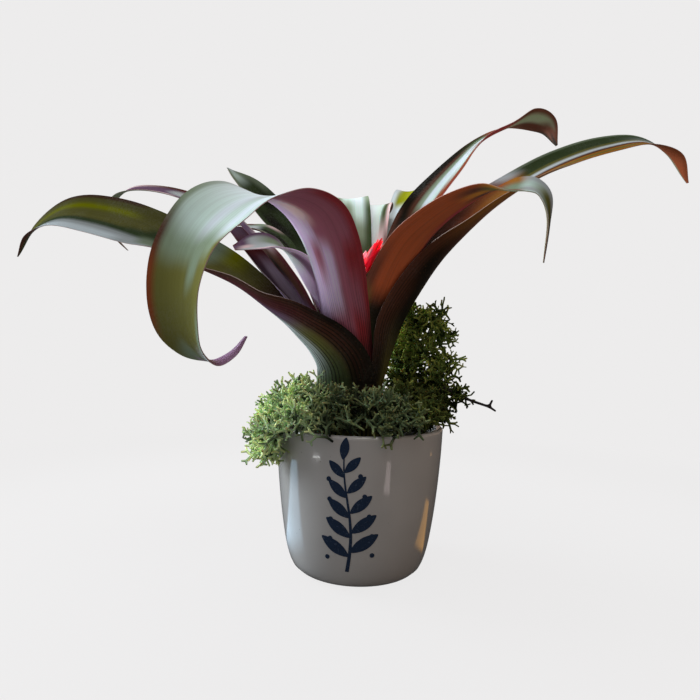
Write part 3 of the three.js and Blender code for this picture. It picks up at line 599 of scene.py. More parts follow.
wave_turn = put(grain, "Math", ((0, ribs.outputs[0]), (1, math.tau)), operation="MULTIPLY")
wave_bent = put(grain, "Math", ((0, wave_turn.outputs[0]), (1, streak.outputs[0])),
                operation="ADD")
ridge = put(grain, "Math", ((0, wave_bent.outputs[0]),), operation="SINE")
ridge_up = ranged(grain, ridge.outputs[0], -1.0, 1.0)
stripe_mask = put(grain, "Math", ((0, ranged(grain, ridge.outputs[0], 0.1, 0.85)),
                                  (1, ranged(grain, broad.outputs[0], 0.36, 0.5))),
                  operation="MULTIPLY")
dust = put(grain, "TexNoise", (("Vector", blade.outputs["Object"]), ("Scale", 950.0),
                               ("Detail", 3.0), ("Roughness", 0.7)))
patches = put(grain, "TexNoise", (("Vector", blade.outputs["Object"]), ("Scale", 48.0),
                                  ("Detail", 3.0), ("Roughness", 0.55)))
bloom_mask = put(grain, "Math", ((0, ranged(grain, dust.outputs[0], 0.35, 0.65)),
                                 (1, ranged(grain, patches.outputs[0], 0.3, 0.7))),
                 operation="MULTIPLY")
pores = put(grain, "TexVoronoi", (("Vector", blade.outputs["Object"]), ("Scale", 420.0)))
specks = ranged(grain, pores.outputs["Distance"], 0.2, 0.1)
# a tip is too narrow for the ribs, so they and the streaks fade out towards it
calm = ranged(grain, split.outputs[0], *TIP_FADE, 1.0, TIP_LEFT)
faded = [put(grain, "Math", ((0, mask), (1, calm)), operation="MULTIPLY").outputs[0]
         for mask in (streak_mask, ridge_up)]
for label, output in (("Streaks", faded[0]), ("Rib Height", faded[1]),
                      ("Bloom", bloom_mask.outputs[0]), ("Specks", specks),
                      ("Bands", band_mask), ("Stripes", stripe_mask.outputs[0])):
    grain.links.new(output, gate_out.inputs[label])
print("leaf grain:", len(grain.nodes), "nodes")


# %% The two faces and the margin
DARKER, STRIPE_TONE = (0.34, 0.3, 0.27, 1), colour(34, 32, 22)
BLOOM_TONE, SPECK_TONE = colour(190, 198, 198), colour(206, 150, 70)
BAND_SHARE, ROUGHER_BLOOM = 0.4, 0.16


def leaf_face(name, attribute, streaks, bloom, specks, roughness, gloss):
    """A painted face: streaks, bands, sheath stripes, silver bloom, specks and wax."""
    material, tree, shader = recipe(name, specular_ior_level=gloss)
    coat = put(tree, "Attribute", attribute_name=attribute)
    fibre = put(tree, "Group", node_tree=grain)
    dark = mixed(tree, 1.0, coat.outputs["Color"], DARKER, "MULTIPLY")
    face = coat.outputs["Color"]
    for mask, strength, other in (("Streaks", streaks, dark),
                                  ("Bands", streaks * BAND_SHARE, dark),
                                  ("Stripes", coat.outputs["Alpha"], STRIPE_TONE),
                                  ("Bloom", bloom, BLOOM_TONE),
                                  ("Specks", specks, SPECK_TONE)):
        share = put(tree, "Math", ((0, fibre.outputs[mask]), (1, strength)), operation="MULTIPLY")
        face = mixed(tree, share.outputs[0], face, other)
    rough = ranged(tree, fibre.outputs["Bloom"], 0.0, 1.0,
                   roughness, roughness + ROUGHER_BLOOM)
    height = put(tree, "Math", ((0, fibre.outputs["Rib Height"]), (1, fibre.outputs["Streaks"])),
                 operation="ADD")
    relief = put(tree, "Bump", (("Strength", 0.35), ("Distance", 0.00006),
                                ("Height", height.outputs[0])))
    wire(tree, shader, base_color=face, roughness=rough, normal=relief.outputs[0])
    return material


upper_face = leaf_face("leaf upper face", "upper", streaks=0.16, bloom=0.06, specks=0.0,
                       roughness=0.48, gloss=0.0)
under_face = leaf_face("leaf under face", "under", streaks=0.24, bloom=0.05, specks=0.09,
                       roughness=0.42, gloss=0.06)
# the rim is the under paint mixed with a pale tint: partly a pale margin, partly a painted
# highlight
margin, tree, shader = recipe("leaf margin")
paint = put(tree, "Attribute", attribute_name="under").outputs["Color"]
fibre = put(tree, "Group", node_tree=grain)
wire(tree, shader, base_color=mixed(tree, 0.55, paint, colour(220, 196, 188)),
     roughness=ranged(tree, fibre.outputs["Bloom"], 0.0, 1.0, 0.4, 0.55))
print("leaf materials:", upper_face.name, under_face.name, margin.name)

# %% [markdown]
# ## Making the thirteen leaves
#
# Each blank is painted while it is still one sheet, then a Solidify modifier gives it a
# real thickness: 0.8 mm along the middle, and about a third of that at the margins. The
# rim is painted pale, partly as a pale margin and partly as a painted highlight where the
# light catches the edge. The modifier's material offset gives the under face and the rim
# their own slots.

# %% Make the leaves
ALONG, ACROSS = 220, 22
MARGIN_WAVE = 0.5
MARGIN_SHARE, MARGIN_WIDTH = 0.35, 2.5
SEED_STEP = 7.3


def thicken(piece, line, thick):
    """Weights the middle of a blank, and makes it a closed blade with thin margins."""
    body = piece.vertex_groups.new(name="body")
    uv = piece.data.uv_layers.active.data
    for loop in piece.data.loops:
        u, v = uv[loop.index].uv
        width = line[round(u * (len(line) - 1))][3]
        body.add([loop.vertex_index], eased(min(v, 1 - v) * width, 0, MARGIN_WIDTH), "REPLACE")
    apply_modifier(piece, "SOLIDIFY", thickness=thick * MM, offset=0, vertex_group="body",
                   thickness_vertex_group=MARGIN_SHARE, material_offset=1,
                   material_offset_rim=2, use_quality_normals=True)


leaf_points = []
for seed, (name, (shape, path)) in enumerate(LEAVES.items()):
    line, length = leaf_line(shape, path, ALONG + 1)
    leaf = bend_blank(line, ALONG, ACROSS, seed * SEED_STEP, MARGIN_WAVE)
    leaf_points += [point.co.copy() for point in leaf.data.vertices]
    for face, strength in zip(("upper", "under"), PAINTED_LIGHT_GAIN.get(name, COMMON_PAINTED_LIGHT_GAIN)):
        brush(leaf, face, COATS[name][face], seed, strength)
    for material in (upper_face, under_face, margin):
        leaf.data.materials.append(material)
    thicken(leaf, line, LEAF_THICK)
    settle(leaf, name + "_blade", (name,), angle=60)
    print("  length", round(length), "mm")

# %% [markdown]
# ## The mug
#
# The mug is slip-cast earthenware under a clear, thick glaze: a soft flare, a rounded lip
# and a narrow foot ring. It is a turned shape, so one profile is drawn as a chain of
# points, each pulled out of the last, and the chain is spun round the axis.

# %% Turn a profile
WELD = 1e-6


def chain(name, points):
    """A mesh of one chain of points, each extruded from the last, in metres."""
    bpy.ops.object.select_all(action="DESELECT")
    bpy.ops.mesh.primitive_plane_add(size=MM)
    piece = bpy.context.object
    piece.name = name
    bpy.ops.object.mode_set(mode="EDIT")
    bpy.ops.mesh.select_mode(type="VERT")
    bpy.ops.mesh.select_all(action="SELECT")
    bpy.ops.mesh.merge(type="CENTER")
    bpy.ops.transform.translate(value=points[0])
    for before, after in zip(points, points[1:]):
        step = Vector(after) - Vector(before)
        bpy.ops.mesh.extrude_region_move(TRANSFORM_OT_translate={"value": step})
    return piece


def turned(name, profile, steps):
    """A chain of (radius, height) in mm, spun round the upright axis into a closed shape."""
    piece = chain(name, [Vector((r * MM, 0, z * MM)) for r, z in profile])
    bpy.ops.mesh.select_all(action="SELECT")
    bpy.ops.mesh.spin(steps=steps, angle=math.tau, center=(0, 0, 0), axis=(0, 0, 1))
    bpy.ops.mesh.select_all(action="SELECT")
    bpy.ops.mesh.remove_doubles(threshold=WELD)
    bpy.ops.mesh.normals_make_consistent(inside=False)
    bpy.ops.object.mode_set(mode="OBJECT")
    return piece


print("points nearer than", WELD / MM, "mm to each other are merged")

# %% The mug's profile
# points of (radius, height) in mm, from the middle of the foot over the lip to the floor inside
MUG_FOOT = [(0, 0.9), (25, 0.9), (26.2, 0.6), (26.8, 0.1), (27.4, 0), (29.2, 0)]
MUG_WALL = [(30, 0.2), (33, 1.2), (35, 3.6), (37, 9), (38.8, 17), (40.8, 30), (42.5, 45),
            (43.8, 61), (44.4, 73.4)]
MUG_INSIDE = [(40.6, 73.4), (40, 61), (38.8, 45), (37.2, 30), (35, 17), (32.8, 9.5), (29, 6),
              (24, 5)]
MUG_FLOOR = (0, 5)
LIP_MIDDLE, LIP_HALF = (42.5, 73.4), (1.9, 1.6)
LIP = [(LIP_MIDDLE[0] + LIP_HALF[0] * math.cos(math.radians(a)),
        LIP_MIDDLE[1] + LIP_HALF[1] * math.sin(math.radians(a))) for a in range(15, 180, 15)]
WALL_POINTS, INSIDE_POINTS, TURNING_STEPS = 30, 24, 160
wall = [(r, z) for r, _, z in smooth_rows([(r, 0, z) for r, z in MUG_WALL], WALL_POINTS)[0]]
inner = [(r, z) for r, _, z in
         smooth_rows([(r, 0, z) for r, z in MUG_INSIDE], INSIDE_POINTS)[0]]
print("mug: points in the profile", len(MUG_FOOT + wall + LIP + inner) + 1)

# %% The glaze
glaze, tree, shader = recipe("white glaze", coat_weight=0.6, coat_roughness=0.03,
                             specular_ior_level=0.55)
place = put(tree, "TexCoord").outputs["Object"]
pooling = put(tree, "TexNoise", (("Vector", place), ("Scale", 22.0), ("Detail", 2.0)))
body_tone = mixed(tree, ranged(tree, pooling.outputs[0], 0.3, 0.7),
                  colour(214, 212, 209), colour(202, 200, 197))
pinholes = put(tree, "TexVoronoi", (("Vector", place), ("Scale", 260.0)))
pits = ranged(tree, pinholes.outputs["Distance"], 0.09, 0.03)
speckle = put(tree, "TexNoise", (("Vector", place), ("Scale", 60.0),))
few = put(tree, "Math", ((0, pits), (1, ranged(tree, speckle.outputs[0], 0.6, 0.72))),
          operation="MULTIPLY")
body_tone = mixed(tree, few.outputs[0], body_tone, colour(120, 112, 100))
orange_peel = put(tree, "Bump", (("Strength", 0.2), ("Distance", 0.0002),
                                 ("Height", pooling.outputs[0])))
wire(tree, shader, base_color=body_tone, normal=orange_peel.outputs[0],
     roughness=ranged(tree, speckle.outputs[0], 0.3, 0.7, 0.07, 0.13))
print("glaze:", len(tree.nodes), "nodes")

# %% Make the mug
mug = turned("mug_body", [*MUG_FOOT, *wall, *LIP, *inner, MUG_FLOOR], TURNING_STEPS)
settle(mug, "mug_glazed", ("mug",), (glaze,), angle=35)

# %% [markdown]
# ## The soil
#
# The mug is filled with dark peat. It shows only through the holes in the moss, but it
# closes the view into the mug. The same turning gives the lump, with many rings on top,
# and a seeded noise breaks the rings into crumbs.

# %% The mug's inside
def inner_radius(z):
    """The mug's inner radius at a height, in mm."""
    for (r1, z1), (r0, z0) in zip(MUG_INSIDE, MUG_INSIDE[1:]):
        if z0 <= z <= z1:
            return r0 + (r1 - r0) * (z - z0) / (z1 - z0)
    return MUG_INSIDE[-1][0]


SOIL_TOP, SOIL_HEAP, SOIL_RADIUS = 64, 0.8, 38.6
SOIL_FOOT, SOIL_HEIGHTS = (22, 5.4), (6.5, 14, 26, 40, 52, 61)
SOIL_GAP, SOIL_RINGS, SOIL_STEPS = 0.4, 26, 120
LUMP_DEPTH, LUMPS = 1.5, 160
CRUMB_DEPTH, CRUMBS, CRUMBS_ABOVE = 0.8, 520, 62
print("soil: radius at its top", round(inner_radius(SOIL_TOP) - SOIL_GAP, 1), "mm")

# %% Peat
peat, tree, shader = recipe("peat", specular_ior_level=0.3)
place = put(tree, "TexCoord").outputs["Object"]
crumbs = put(tree, "TexNoise", (("Vector", place), ("Scale", 420.0), ("Detail", 5.0),
                                ("Roughness", 0.7)))
fibres = put(tree, "TexVoronoi", (("Vector", place), ("Scale", 300.0)))
soil_tone = mixed(tree, ranged(tree, crumbs.outputs[0], 0.35, 0.7), colour(34, 26, 20),
                  colour(78, 60, 44))
bump = put(tree, "Bump", (("Strength", 0.8), ("Distance", 0.0006), ("Height", crumbs.outputs[0])))
wire(tree, shader, base_color=soil_tone, normal=bump.outputs[0],
     roughness=ranged(tree, fibres.outputs["Distance"], 0.0, 0.6, 0.8, 0.95))
print("peat:", len(tree.nodes), "nodes")

# %% Make the soil
side = [(inner_radius(z) - SOIL_GAP, z) for z in SOIL_HEIGHTS]
rings = [(SOIL_RADIUS - SOIL_RADIUS * i / SOIL_RINGS, SOIL_TOP + SOIL_HEAP * i / SOIL_RINGS)
         for i in range(SOIL_RINGS)]
soil = turned("soil_lump", [(0, SOIL_FOOT[1]), SOIL_FOOT, *side, *rings,
                            (0, SOIL_TOP + SOIL_HEAP)], SOIL_STEPS)
for point in soil.data.vertices:
    if point.co.z > CRUMBS_ABOVE * MM:
        point.co.z += MM * (LUMP_DEPTH * noise.noise(point.co * LUMPS)
                            + CRUMB_DEPTH * noise.noise(point.co * CRUMBS))
settle(soil, "soil_crumbly", ("soil",), (peat,), angle=80)

# %% [markdown]
# ## The trunk and the flower head
#
# The short trunk is hidden by the sheaths. The flower head sits in the middle of the
# cup: pointed red bracts in two whorls with pale petals between them. The bracts are
# small leaves, so the leaf helpers make them, with a narrower channel.

# %% The skin of the stalk
stalk_skin, tree, shader = recipe("stalk", specular_ior_level=0.4)
place = put(tree, "TexCoord").outputs["Object"]
stretch = put(tree, "Mapping", (("Vector", place), ("Scale", (900, 900, 90))))
fibre_noise = put(tree, "TexNoise", (("Vector", stretch.outputs[0]), ("Scale", 1.0),
                                     ("Detail", 3.0)))
bump = put(tree, "Bump", (("Strength", 0.5), ("Distance", 0.0003),
                          ("Height", fibre_noise.outputs[0])))
wire(tree, shader, normal=bump.outputs[0],
     base_color=mixed(tree, ranged(tree, fibre_noise.outputs[0], 0.35, 0.65),
                      colour(120, 116, 62), colour(96, 60, 48)),
     roughness=ranged(tree, fibre_noise.outputs[0], 0.3, 0.7, 0.5, 0.7))
print("stalk:", len(tree.nodes), "nodes")

# %% Make the trunk
def grown(name, limbs):
    """A branching piece: limbs are (parent, point, radius) in mm, and a skin covers them."""
    piece = chain(name, [Vector(limbs[0][1]) * MM])
    points = [Vector(limb[1]) * MM for limb in limbs]
    for index, (parent, _, _) in enumerate(limbs[1:], 1):
        mesh = bmesh.from_edit_mesh(piece.data)
        for vert in mesh.verts:
            vert.select = (vert.co - points[parent]).length < WELD
        mesh.select_flush(False)
        bpy.ops.mesh.extrude_region_move(
            TRANSFORM_OT_translate={"value": points[index] - points[parent]})
    bpy.ops.object.mode_set(mode="OBJECT")
    bpy.ops.object.modifier_add(type="SKIN")
    for vert, skin in zip(piece.data.vertices, piece.data.skin_vertices[0].data):
        near = min(range(len(limbs)), key=lambda index: (points[index] - vert.co).length)
        skin.radius = (limbs[near][2] * MM, limbs[near][2] * MM)
    bpy.ops.object.modifier_apply(modifier=piece.modifiers[-1].name)
    return piece


# points of the stem and its radius there, in mm
STEM = [((-5, -2, 59), 4.4), ((-5, -2, 88), 4.4), ((-5, -2, 112), 4.2), ((-4, -1, 134), 2.4),
        ((-2, 0, 144), 2.0), ((0, 1, 152), 1.7)]
stem = grown("stem", [(i - 1, at, radius) for i, (at, radius) in enumerate(STEM)])
apply_modifier(stem, "SUBSURF", levels=3, render_levels=3)
settle(stem, "stem_trunk", ("stem",), (stalk_skin,))

# %% The skin of the bracts
bract_skin, tree, shader = recipe("bract red", coat_weight=0.3, coat_roughness=0.25,
                                  subsurface_weight=0.15, subsurface_scale=0.002)
fibre = put(tree, "Group", node_tree=grain)
fibre.inputs["Ribs"].default_value = 9
paint = put(tree, "Attribute", attribute_name="upper").outputs["Color"]
share = put(tree, "Math", ((0, fibre.outputs["Streaks"]), (1, 0.4)), operation="MULTIPLY")
bump = put(tree, "Bump", (("Strength", 0.4), ("Distance", 0.0001),
                          ("Height", fibre.outputs["Rib Height"])))
wire(tree, shader, base_color=mixed(tree, share.outputs[0], paint, colour(150, 0, 22)),
     roughness=ranged(tree, fibre.outputs["Bloom"], 0.0, 1.0, 0.3, 0.45),
     normal=bump.outputs[0])
print("bract red:", len(tree.nodes), "nodes")

# %% A bract
PAINTS["scarlet"] = Vector(colour(255, 10, 48)[:3])
PAINTS["blush"] = Vector(colour(236, 196, 204)[:3])
BRACT_COAT = [(0, "blush scarlet blush"), (0.25, "scarlet"), (0.8, "scarlet crimson scarlet"),
              (1, "scarlet")]
PETAL_COAT = [(0, "blush"), (0.3, "blush blush rose"), (1, "rose lilac rose")]
BLOOM_FOOT, WHORL_RADIUS = Vector((-1.6, 1.1, 154.5)), 0.8
# stops of (place along a bract, share of its width)
BRACT_OUTLINE = ((0, 0.55), (0.3, 1), (0.7, 0.75), (1, 0.05))
BRACT_CURVE, BRACT_OPENING, BRACT_THICK, BRACT_WAVE = 96, 30, 0.5, 0.3
# the bract paint is brightened threefold as painted light, as the bracts lie in the leaves' shade
BRACT_ALONG, BRACT_ACROSS, BRACT_LIGHT_GAIN = 30, 10, 3.0


def bract(turn_degrees, out, lean, height, width, coat):
    """One slender pointed bract: it leans to the right, and away from its whorl by out."""
    heading = math.radians(turn_degrees)
    rows = []
    for t, share_of_width in BRACT_OUTLINE:
        away = WHORL_RADIUS + out * math.sin(t * 1.5)
        rows.append((BLOOM_FOOT.x + away * math.cos(heading) + lean * t,
                     BLOOM_FOOT.y + away * math.sin(heading), BLOOM_FOOT.z + height * t,
                     width * share_of_width, BRACT_CURVE - BRACT_OPENING * t, turn_degrees, 0))
    line = smooth_rows(rows, BRACT_ALONG + 1)[0]
    piece = bend_blank(line, BRACT_ALONG, BRACT_ACROSS, turn_degrees, BRACT_WAVE)
    brush(piece, "upper", coat, seed=0, strength=BRACT_LIGHT_GAIN)
    apply_modifier(piece, "SOLIDIFY", thickness=BRACT_THICK * MM, offset=0)
    return piece


def join(pieces):
    """Joins pieces into the first of them."""
    bpy.ops.object.select_all(action="DESELECT")
    for piece in pieces:
        piece.select_set(True)
    bpy.context.view_layer.objects.active = pieces[0]
    if len(pieces) > 1:
        bpy.ops.object.join()
    return bpy.context.object


print("a bract has", BRACT_ALONG * BRACT_ACROSS, "faces on each side")

# %% Make the flower head
bracts = [bract(20 + i * 72, out=2.2, lean=9 + i % 3, height=17 + i % 2, width=5.2,
                coat=BRACT_COAT) for i in range(5)]
bracts += [bract(50 + i * 120, out=0.7, lean=10.5, height=20 + 0.5 * i, width=4.4,
                 coat=BRACT_COAT) for i in range(3)]
settle(join(bracts), "bloom_bracts", ("bloom",), (bract_skin,), angle=60)
petals = [bract(95 + i * 40, out=3.6 + i * 0.5, lean=3 - i * 2, height=15 + i, width=5.5,
                coat=PETAL_COAT) for i in range(3)]
petals += [bract(262, out=1.6, lean=2.5, height=6.5, width=3.2, coat=PETAL_COAT)]
settle(join(petals), "bloom_petals", (), (bract_skin,), angle=60)

# %% [markdown]
# ## The moss
#
# The moss is preserved reindeer moss: a springy mass of thin stalks that fork and fork
# again, ending in short blunt tips. A solid lump with a mossy bump would lose the holes,
# which are half of what the eye sees. So a few sprigs are grown in full, each a skeleton
# of forks under a skin, and hundreds of seeded copies fill the space of each clump. A
# sprig is repeated so often that a Decimate modifier takes off two thirds of its
# triangles, which leaves about 110 small faces.

# %% Grow the sprigs
SPRIG_KINDS, SPRIG_FORKS = 10, 3
STALK_RADIUS, TWIG_RADIUS, TWIG_THINNING = 0.46, 0.42, 0.05
FIRST_STEP, STEP_SHRINK, STEP_RANGE = 4.8, 0.76, (0.7, 1.15)
FORK_SPREAD, LOST_TIPS = (0.5, 1.5), 0.25
FACES_KEPT = 0.32


def sprig(seed):
    """One sprig, about 15 mm long: a stalk that forks three times, with wide forks."""
    draw = random.Random(seed)
    limbs = [(None, (0, 0, 0), STALK_RADIUS),
             (0, (0.9 * draw.uniform(-1, 1), 0.5, 3.6), STALK_RADIUS)]
    tips = [(1, Vector((0, 0, 1)), FIRST_STEP)]
    for level in range(SPRIG_FORKS):
        grown_tips = []
        for parent, way, step in tips:
            side_way = Vector((draw.uniform(-1, 1), draw.uniform(-1, 1), 0.2)).cross(way)
            side_way.normalize()
            for hand in (1, -1):
                if level == SPRIG_FORKS - 1 and hand < 0 and draw.random() < LOST_TIPS:
                    continue
                new_way = (way + side_way * hand * draw.uniform(*FORK_SPREAD)).normalized()
                end = Vector(limbs[parent][1]) + new_way * step * draw.uniform(*STEP_RANGE)
                limbs.append((parent, tuple(end), TWIG_RADIUS - TWIG_THINNING * level))
                grown_tips.append((len(limbs) - 1, new_way, step * STEP_SHRINK))
        tips = grown_tips
    piece = grown("sprig", limbs)
    apply_modifier(piece, "DECIMATE", ratio=FACES_KEPT)
    mesh = piece.data
    tops = max(v.co.z for v in mesh.vertices)
    model = ([v.co.copy() for v in mesh.vertices], [tuple(p.vertices) for p in mesh.polygons],
             [max(0.0, v.co.z / tops) for v in mesh.vertices])
    bpy.data.objects.remove(piece)
    return model


sprigs = [sprig(seed) for seed in range(SPRIG_KINDS)]
print("sprigs:", [len(model[1]) for model in sprigs], "faces")

# %% Moss materials
# painted light and shade on the moss: lighter on the left and high up, darker elsewhere;
# the lighter part begins and is full at these places
PAINTED_LIGHT_X, PAINTED_LIGHT_Z = (-14 * MM, -28 * MM), (94 * MM, 112 * MM)
PAINTED_LIGHT, PAINTED_SHADE = (1.5, 1.5, 1.6, 1), (0.4, 0.42, 0.4, 1)


def moss_material(name, deep, tone, tip):
    """Curly moss: dark at a sprig's foot as painted shade, pale at its tips, with a dry, matt
    skin.
    """
    material, tree, shader = recipe(name, specular_ior_level=0.25, subsurface_weight=0.1,
                                    subsurface_scale=0.001)
    rise = put(tree, "Attribute", attribute_name="rise").outputs["Fac"]
    tint = put(tree, "Attribute", attribute_name="tint").outputs["Fac"]
    place = put(tree, "TexCoord").outputs["Object"]
    mottle = put(tree, "TexNoise", (("Vector", place), ("Scale", 130.0), ("Detail", 3.0)))
    fuzz = put(tree, "TexNoise", (("Vector", place), ("Scale", 2600.0), ("Detail", 2.0)))
    face = mixed(tree, ranged(tree, rise, 0.05, 0.6), deep, tone)
    face = mixed(tree, ranged(tree, rise, 0.55, 1.0), face, tip)
    share = put(tree, "Math", ((0, ranged(tree, mottle.outputs[0], 0.35, 0.65)), (1, tint)),
                operation="MULTIPLY")
    face = mixed(tree, share.outputs[0], face, deep)
    relief = put(tree, "Bump", (("Strength", 0.5), ("Distance", 0.0002),
                                ("Height", fuzz.outputs[0])))
    # painted light and shade: lighter on the left and high up, darker elsewhere
    spot = put(tree, "SeparateXYZ", ((0, place),))
    lit = put(tree, "Math", ((0, ranged(tree, spot.outputs[0], *PAINTED_LIGHT_X)),
                             (1, ranged(tree, spot.outputs[2], *PAINTED_LIGHT_Z))),
              operation="MAXIMUM")
    face = mixed(tree, lit.outputs[0], mixed(tree, 1.0, face, PAINTED_SHADE, "MULTIPLY"),
                 mixed(tree, 1.0, face, PAINTED_LIGHT, "MULTIPLY"))
    wire(tree, shader, base_color=face, normal=relief.outputs[0],
         roughness=ranged(tree, fuzz.outputs[0], 0.3, 0.7, 0.75, 0.95))
    return material


moss_pale = moss_material("moss pale", colour(34, 46, 30), colour(174, 200, 148),
                          colour(226, 240, 164))
moss_dark = moss_material("moss dark", colour(34, 48, 22), colour(120, 142, 66),
                          colour(186, 198, 98))
print("moss materials:", moss_pale.name, "and", moss_dark.name)

# %% Where moss may grow
RIM_TOP, WALL_INSIDE, WALL_OUTSIDE = 76.5, 39.2, 45.4
SOIL_SURFACE, SHEATHS_RADIUS, SHEATHS_TOP, LEAF_GAP = 65, 18.4, 100, 1.7
leaf_tree = kdtree.KDTree(len(leaf_points))
for index, point in enumerate(leaf_points):
    leaf_tree.insert(point, index)
leaf_tree.balance()
print("points on the leaves:", len(leaf_points))


def is_free(at):
    """True where moss may be: outside the mug's wall, the soil and the leaves."""
    radius = math.hypot(at.x, at.y)
    from_axis = math.hypot(at.x - PLANT_AXIS[0], at.y - PLANT_AXIS[1])
    if at.z < RIM_TOP and WALL_INSIDE < radius < WALL_OUTSIDE:
        return False
    if radius <= WALL_INSIDE and at.z < SOIL_SURFACE:
        return False
    if from_axis < SHEATHS_RADIUS and at.z < SHEATHS_TOP:
        return False
    return leaf_tree.find(at * MM)[2] > LEAF_GAP * MM


# %% Fill a clump
TRIES_EACH, SPRIG_SIZES = 40, (0.7, 1.1)
UPWARDS, STRAY = Vector((0, 0, 0.35)), 0.5
SPRIG_MIDDLE, PROBES, CORNER_STEP = 7, (0.5, 4, 7, 10, 12.5), 5


def clump(name, seed, blobs, count, material):
    """Seeded copies of the sprigs in a few round blobs, each (x, y, z, radius) in mm."""
    draw = random.Random(seed)
    verts, faces, rises, tints = [], [], [], []
    made = tries = 0
    while made < count and tries < count * TRIES_EACH:
        tries += 1
        x, y, z, wide = draw.choices(blobs, [blob[3] ** 2 for blob in blobs])[0]
        unit = Vector((draw.gauss(0, 1), draw.gauss(0, 1), draw.gauss(0, 1))).normalized()
        at = Vector((x, y, z)) + unit * wide * draw.random() ** 0.5
        way = unit + UPWARDS + Vector((draw.gauss(0, STRAY), draw.gauss(0, STRAY),
                                       draw.gauss(0, STRAY)))
        way.normalize()
        size = draw.uniform(*SPRIG_SIZES)
        foot = at - way * SPRIG_MIDDLE * size
        if not all(is_free(foot + way * step * size) for step in PROBES):
            continue
        model = sprigs[draw.randrange(len(sprigs))]
        turned_way = way.to_track_quat("Z", "Y").to_matrix().to_4x4()
        spun = Matrix.Rotation(draw.uniform(0, math.tau), 4, "Z")
        matrix = Matrix.Translation(foot * MM) @ turned_way @ spun @ Matrix.Scale(size, 4)
        corners = [matrix @ v for v in model[0]]
        if not all(is_free(v / MM) for v in corners[::CORNER_STEP]):
            continue
        base, tint = len(verts), draw.random()
        verts += corners
        faces += [tuple(i + base for i in face) for face in model[1]]
        rises += model[2]
        tints += [tint] * len(model[0])
        made += 1
    mesh = bpy.data.meshes.new(name)
    mesh.from_pydata(verts, [], faces)
    for label, values in (("rise", rises), ("tint", tints)):
        layer = mesh.attributes.new(label, "FLOAT", "POINT")
        layer.data.foreach_set("value", values)
    piece = bpy.data.objects.new(name, mesh)
    bpy.context.scene.collection.objects.link(piece)
    settle(piece, name + "_sprigs", (name,), (material,), angle=80)
    print("  sprigs", made, "of", tries, "tries")


# %% The five clumps
# each clump: a seed, blobs of (x, y, z, radius) in mm, sprigs, slot and material
MOSS = {
    "moss_left": (11, (
        (-30, -22, 92, 7), (-22, -26, 91, 7), (-39, -17, 86, 8), (-46, -12, 78, 8),
        (-41, -29, 73, 7), (-31, -33, 82, 7), (-50, -12, 69, 6), (-44, 4, 80, 8),
        (-40, 14, 78, 8), (-33, -9, 88, 7), (-45, -26, 66, 6), (-48, -20, 70, 7)),
        230, "moss_pale", moss_pale),
    "moss_front": (23, (
        (-12, -32, 87, 7), (-2, -29, 89, 6), (6, -32, 87, 7), (14, -30, 88, 7),
        (-6, -39, 79, 6), (8, -41, 78, 6), (20, -34, 83, 7), (-15, -39, 78, 6),
        (3, -44, 76, 4), (-20, -36, 80, 6), (15, -42, 77, 4)),
        165, "moss_pale", moss_pale),
    "moss_right": (37, (
        (26, -28, 82, 7), (31, -20, 84, 8), (37, -11, 84, 8), (40, -2, 84, 8),
        (25, -14, 88, 8), (20, -22, 88, 7), (42, -6, 80, 6)),
        150, "moss_dark", moss_dark),
    "moss_tall": (41, (
        (44, 15, 138, 6), (36, 20, 131, 8), (46, 16, 124, 7), (31, 23, 120, 9),
        (38, 16, 112, 9), (49, 15, 108, 7), (27, 22, 108, 9), (44, 12, 98, 9), (24, 22, 94, 9),
        (33, 14, 92, 9), (48, 7, 88, 8), (53, 3, 93, 5), (36, 10, 80, 9), (24, 24, 80, 8),
        (34, 28, 92, 8), (22, 20, 100, 7), (25, 26, 127, 7), (21, 27, 117, 7), (31, 24, 134, 6)),
        350, "moss_dark", moss_dark),
    "moss_back": (53, (
        (12, 34, 78, 8), (0, 38, 76, 8), (-12, 36, 78, 8), (-24, 28, 78, 8), (-4, 28, 80, 8),
        (18, 26, 82, 7)),
        160, "moss_pale", moss_pale),
}
for name, (seed, blobs, count, slot, material) in MOSS.items():
    clump(name, seed, blobs, count, material)

# %% [markdown]
# ## The dark twig
#
# One dead twig sticks out of the moss on the right and forks at its end. It could be a bent
# cylinder, but a twig is thicker at its knots. So it is grown as the trunk was: limbs with a
# radius at each point, under a skin that is then smoothed.

# %% The bark of the dark twig
twig_bark, tree, shader = recipe("twig bark", specular_ior_level=0.3)
place = put(tree, "TexCoord").outputs["Object"]
crack = put(tree, "TexNoise", (("Vector", place), ("Scale", 900.0), ("Detail", 4.0)))
bump = put(tree, "Bump", (("Strength", 0.7), ("Distance", 0.0003), ("Height", crack.outputs[0])))
wire(tree, shader, normal=bump.outputs[0],
     base_color=mixed(tree, ranged(tree, crack.outputs[0], 0.35, 0.65), colour(30, 26, 30),
                      colour(74, 66, 62)),
     roughness=ranged(tree, crack.outputs[0], 0.3, 0.7, 0.7, 0.9))
print("twig bark:", len(tree.nodes), "nodes")

# %% The dark twig in the moss
# limbs of (parent, point, radius) in mm
TWIG = [(None, (40, 5, 93), 0.8), (0, (47, 5, 94.5), 0.85), (1, (54, 3, 91), 0.7),
        (2, (61, -2, 88.5), 0.8), (3, (68, -7, 86.5), 0.7), (4, (70, -6, 90), 0.55),
        (4, (71.5, -8, 84.2), 0.55), (2, (55.5, 1, 87.4), 0.45), (1, (47.5, 6.5, 97.5), 0.4)]
twig = grown("twig", TWIG)
apply_modifier(twig, "SUBSURF", levels=2, render_levels=2)
settle(twig, "moss_twig_forked", ("moss_stem",), (twig_bark,))

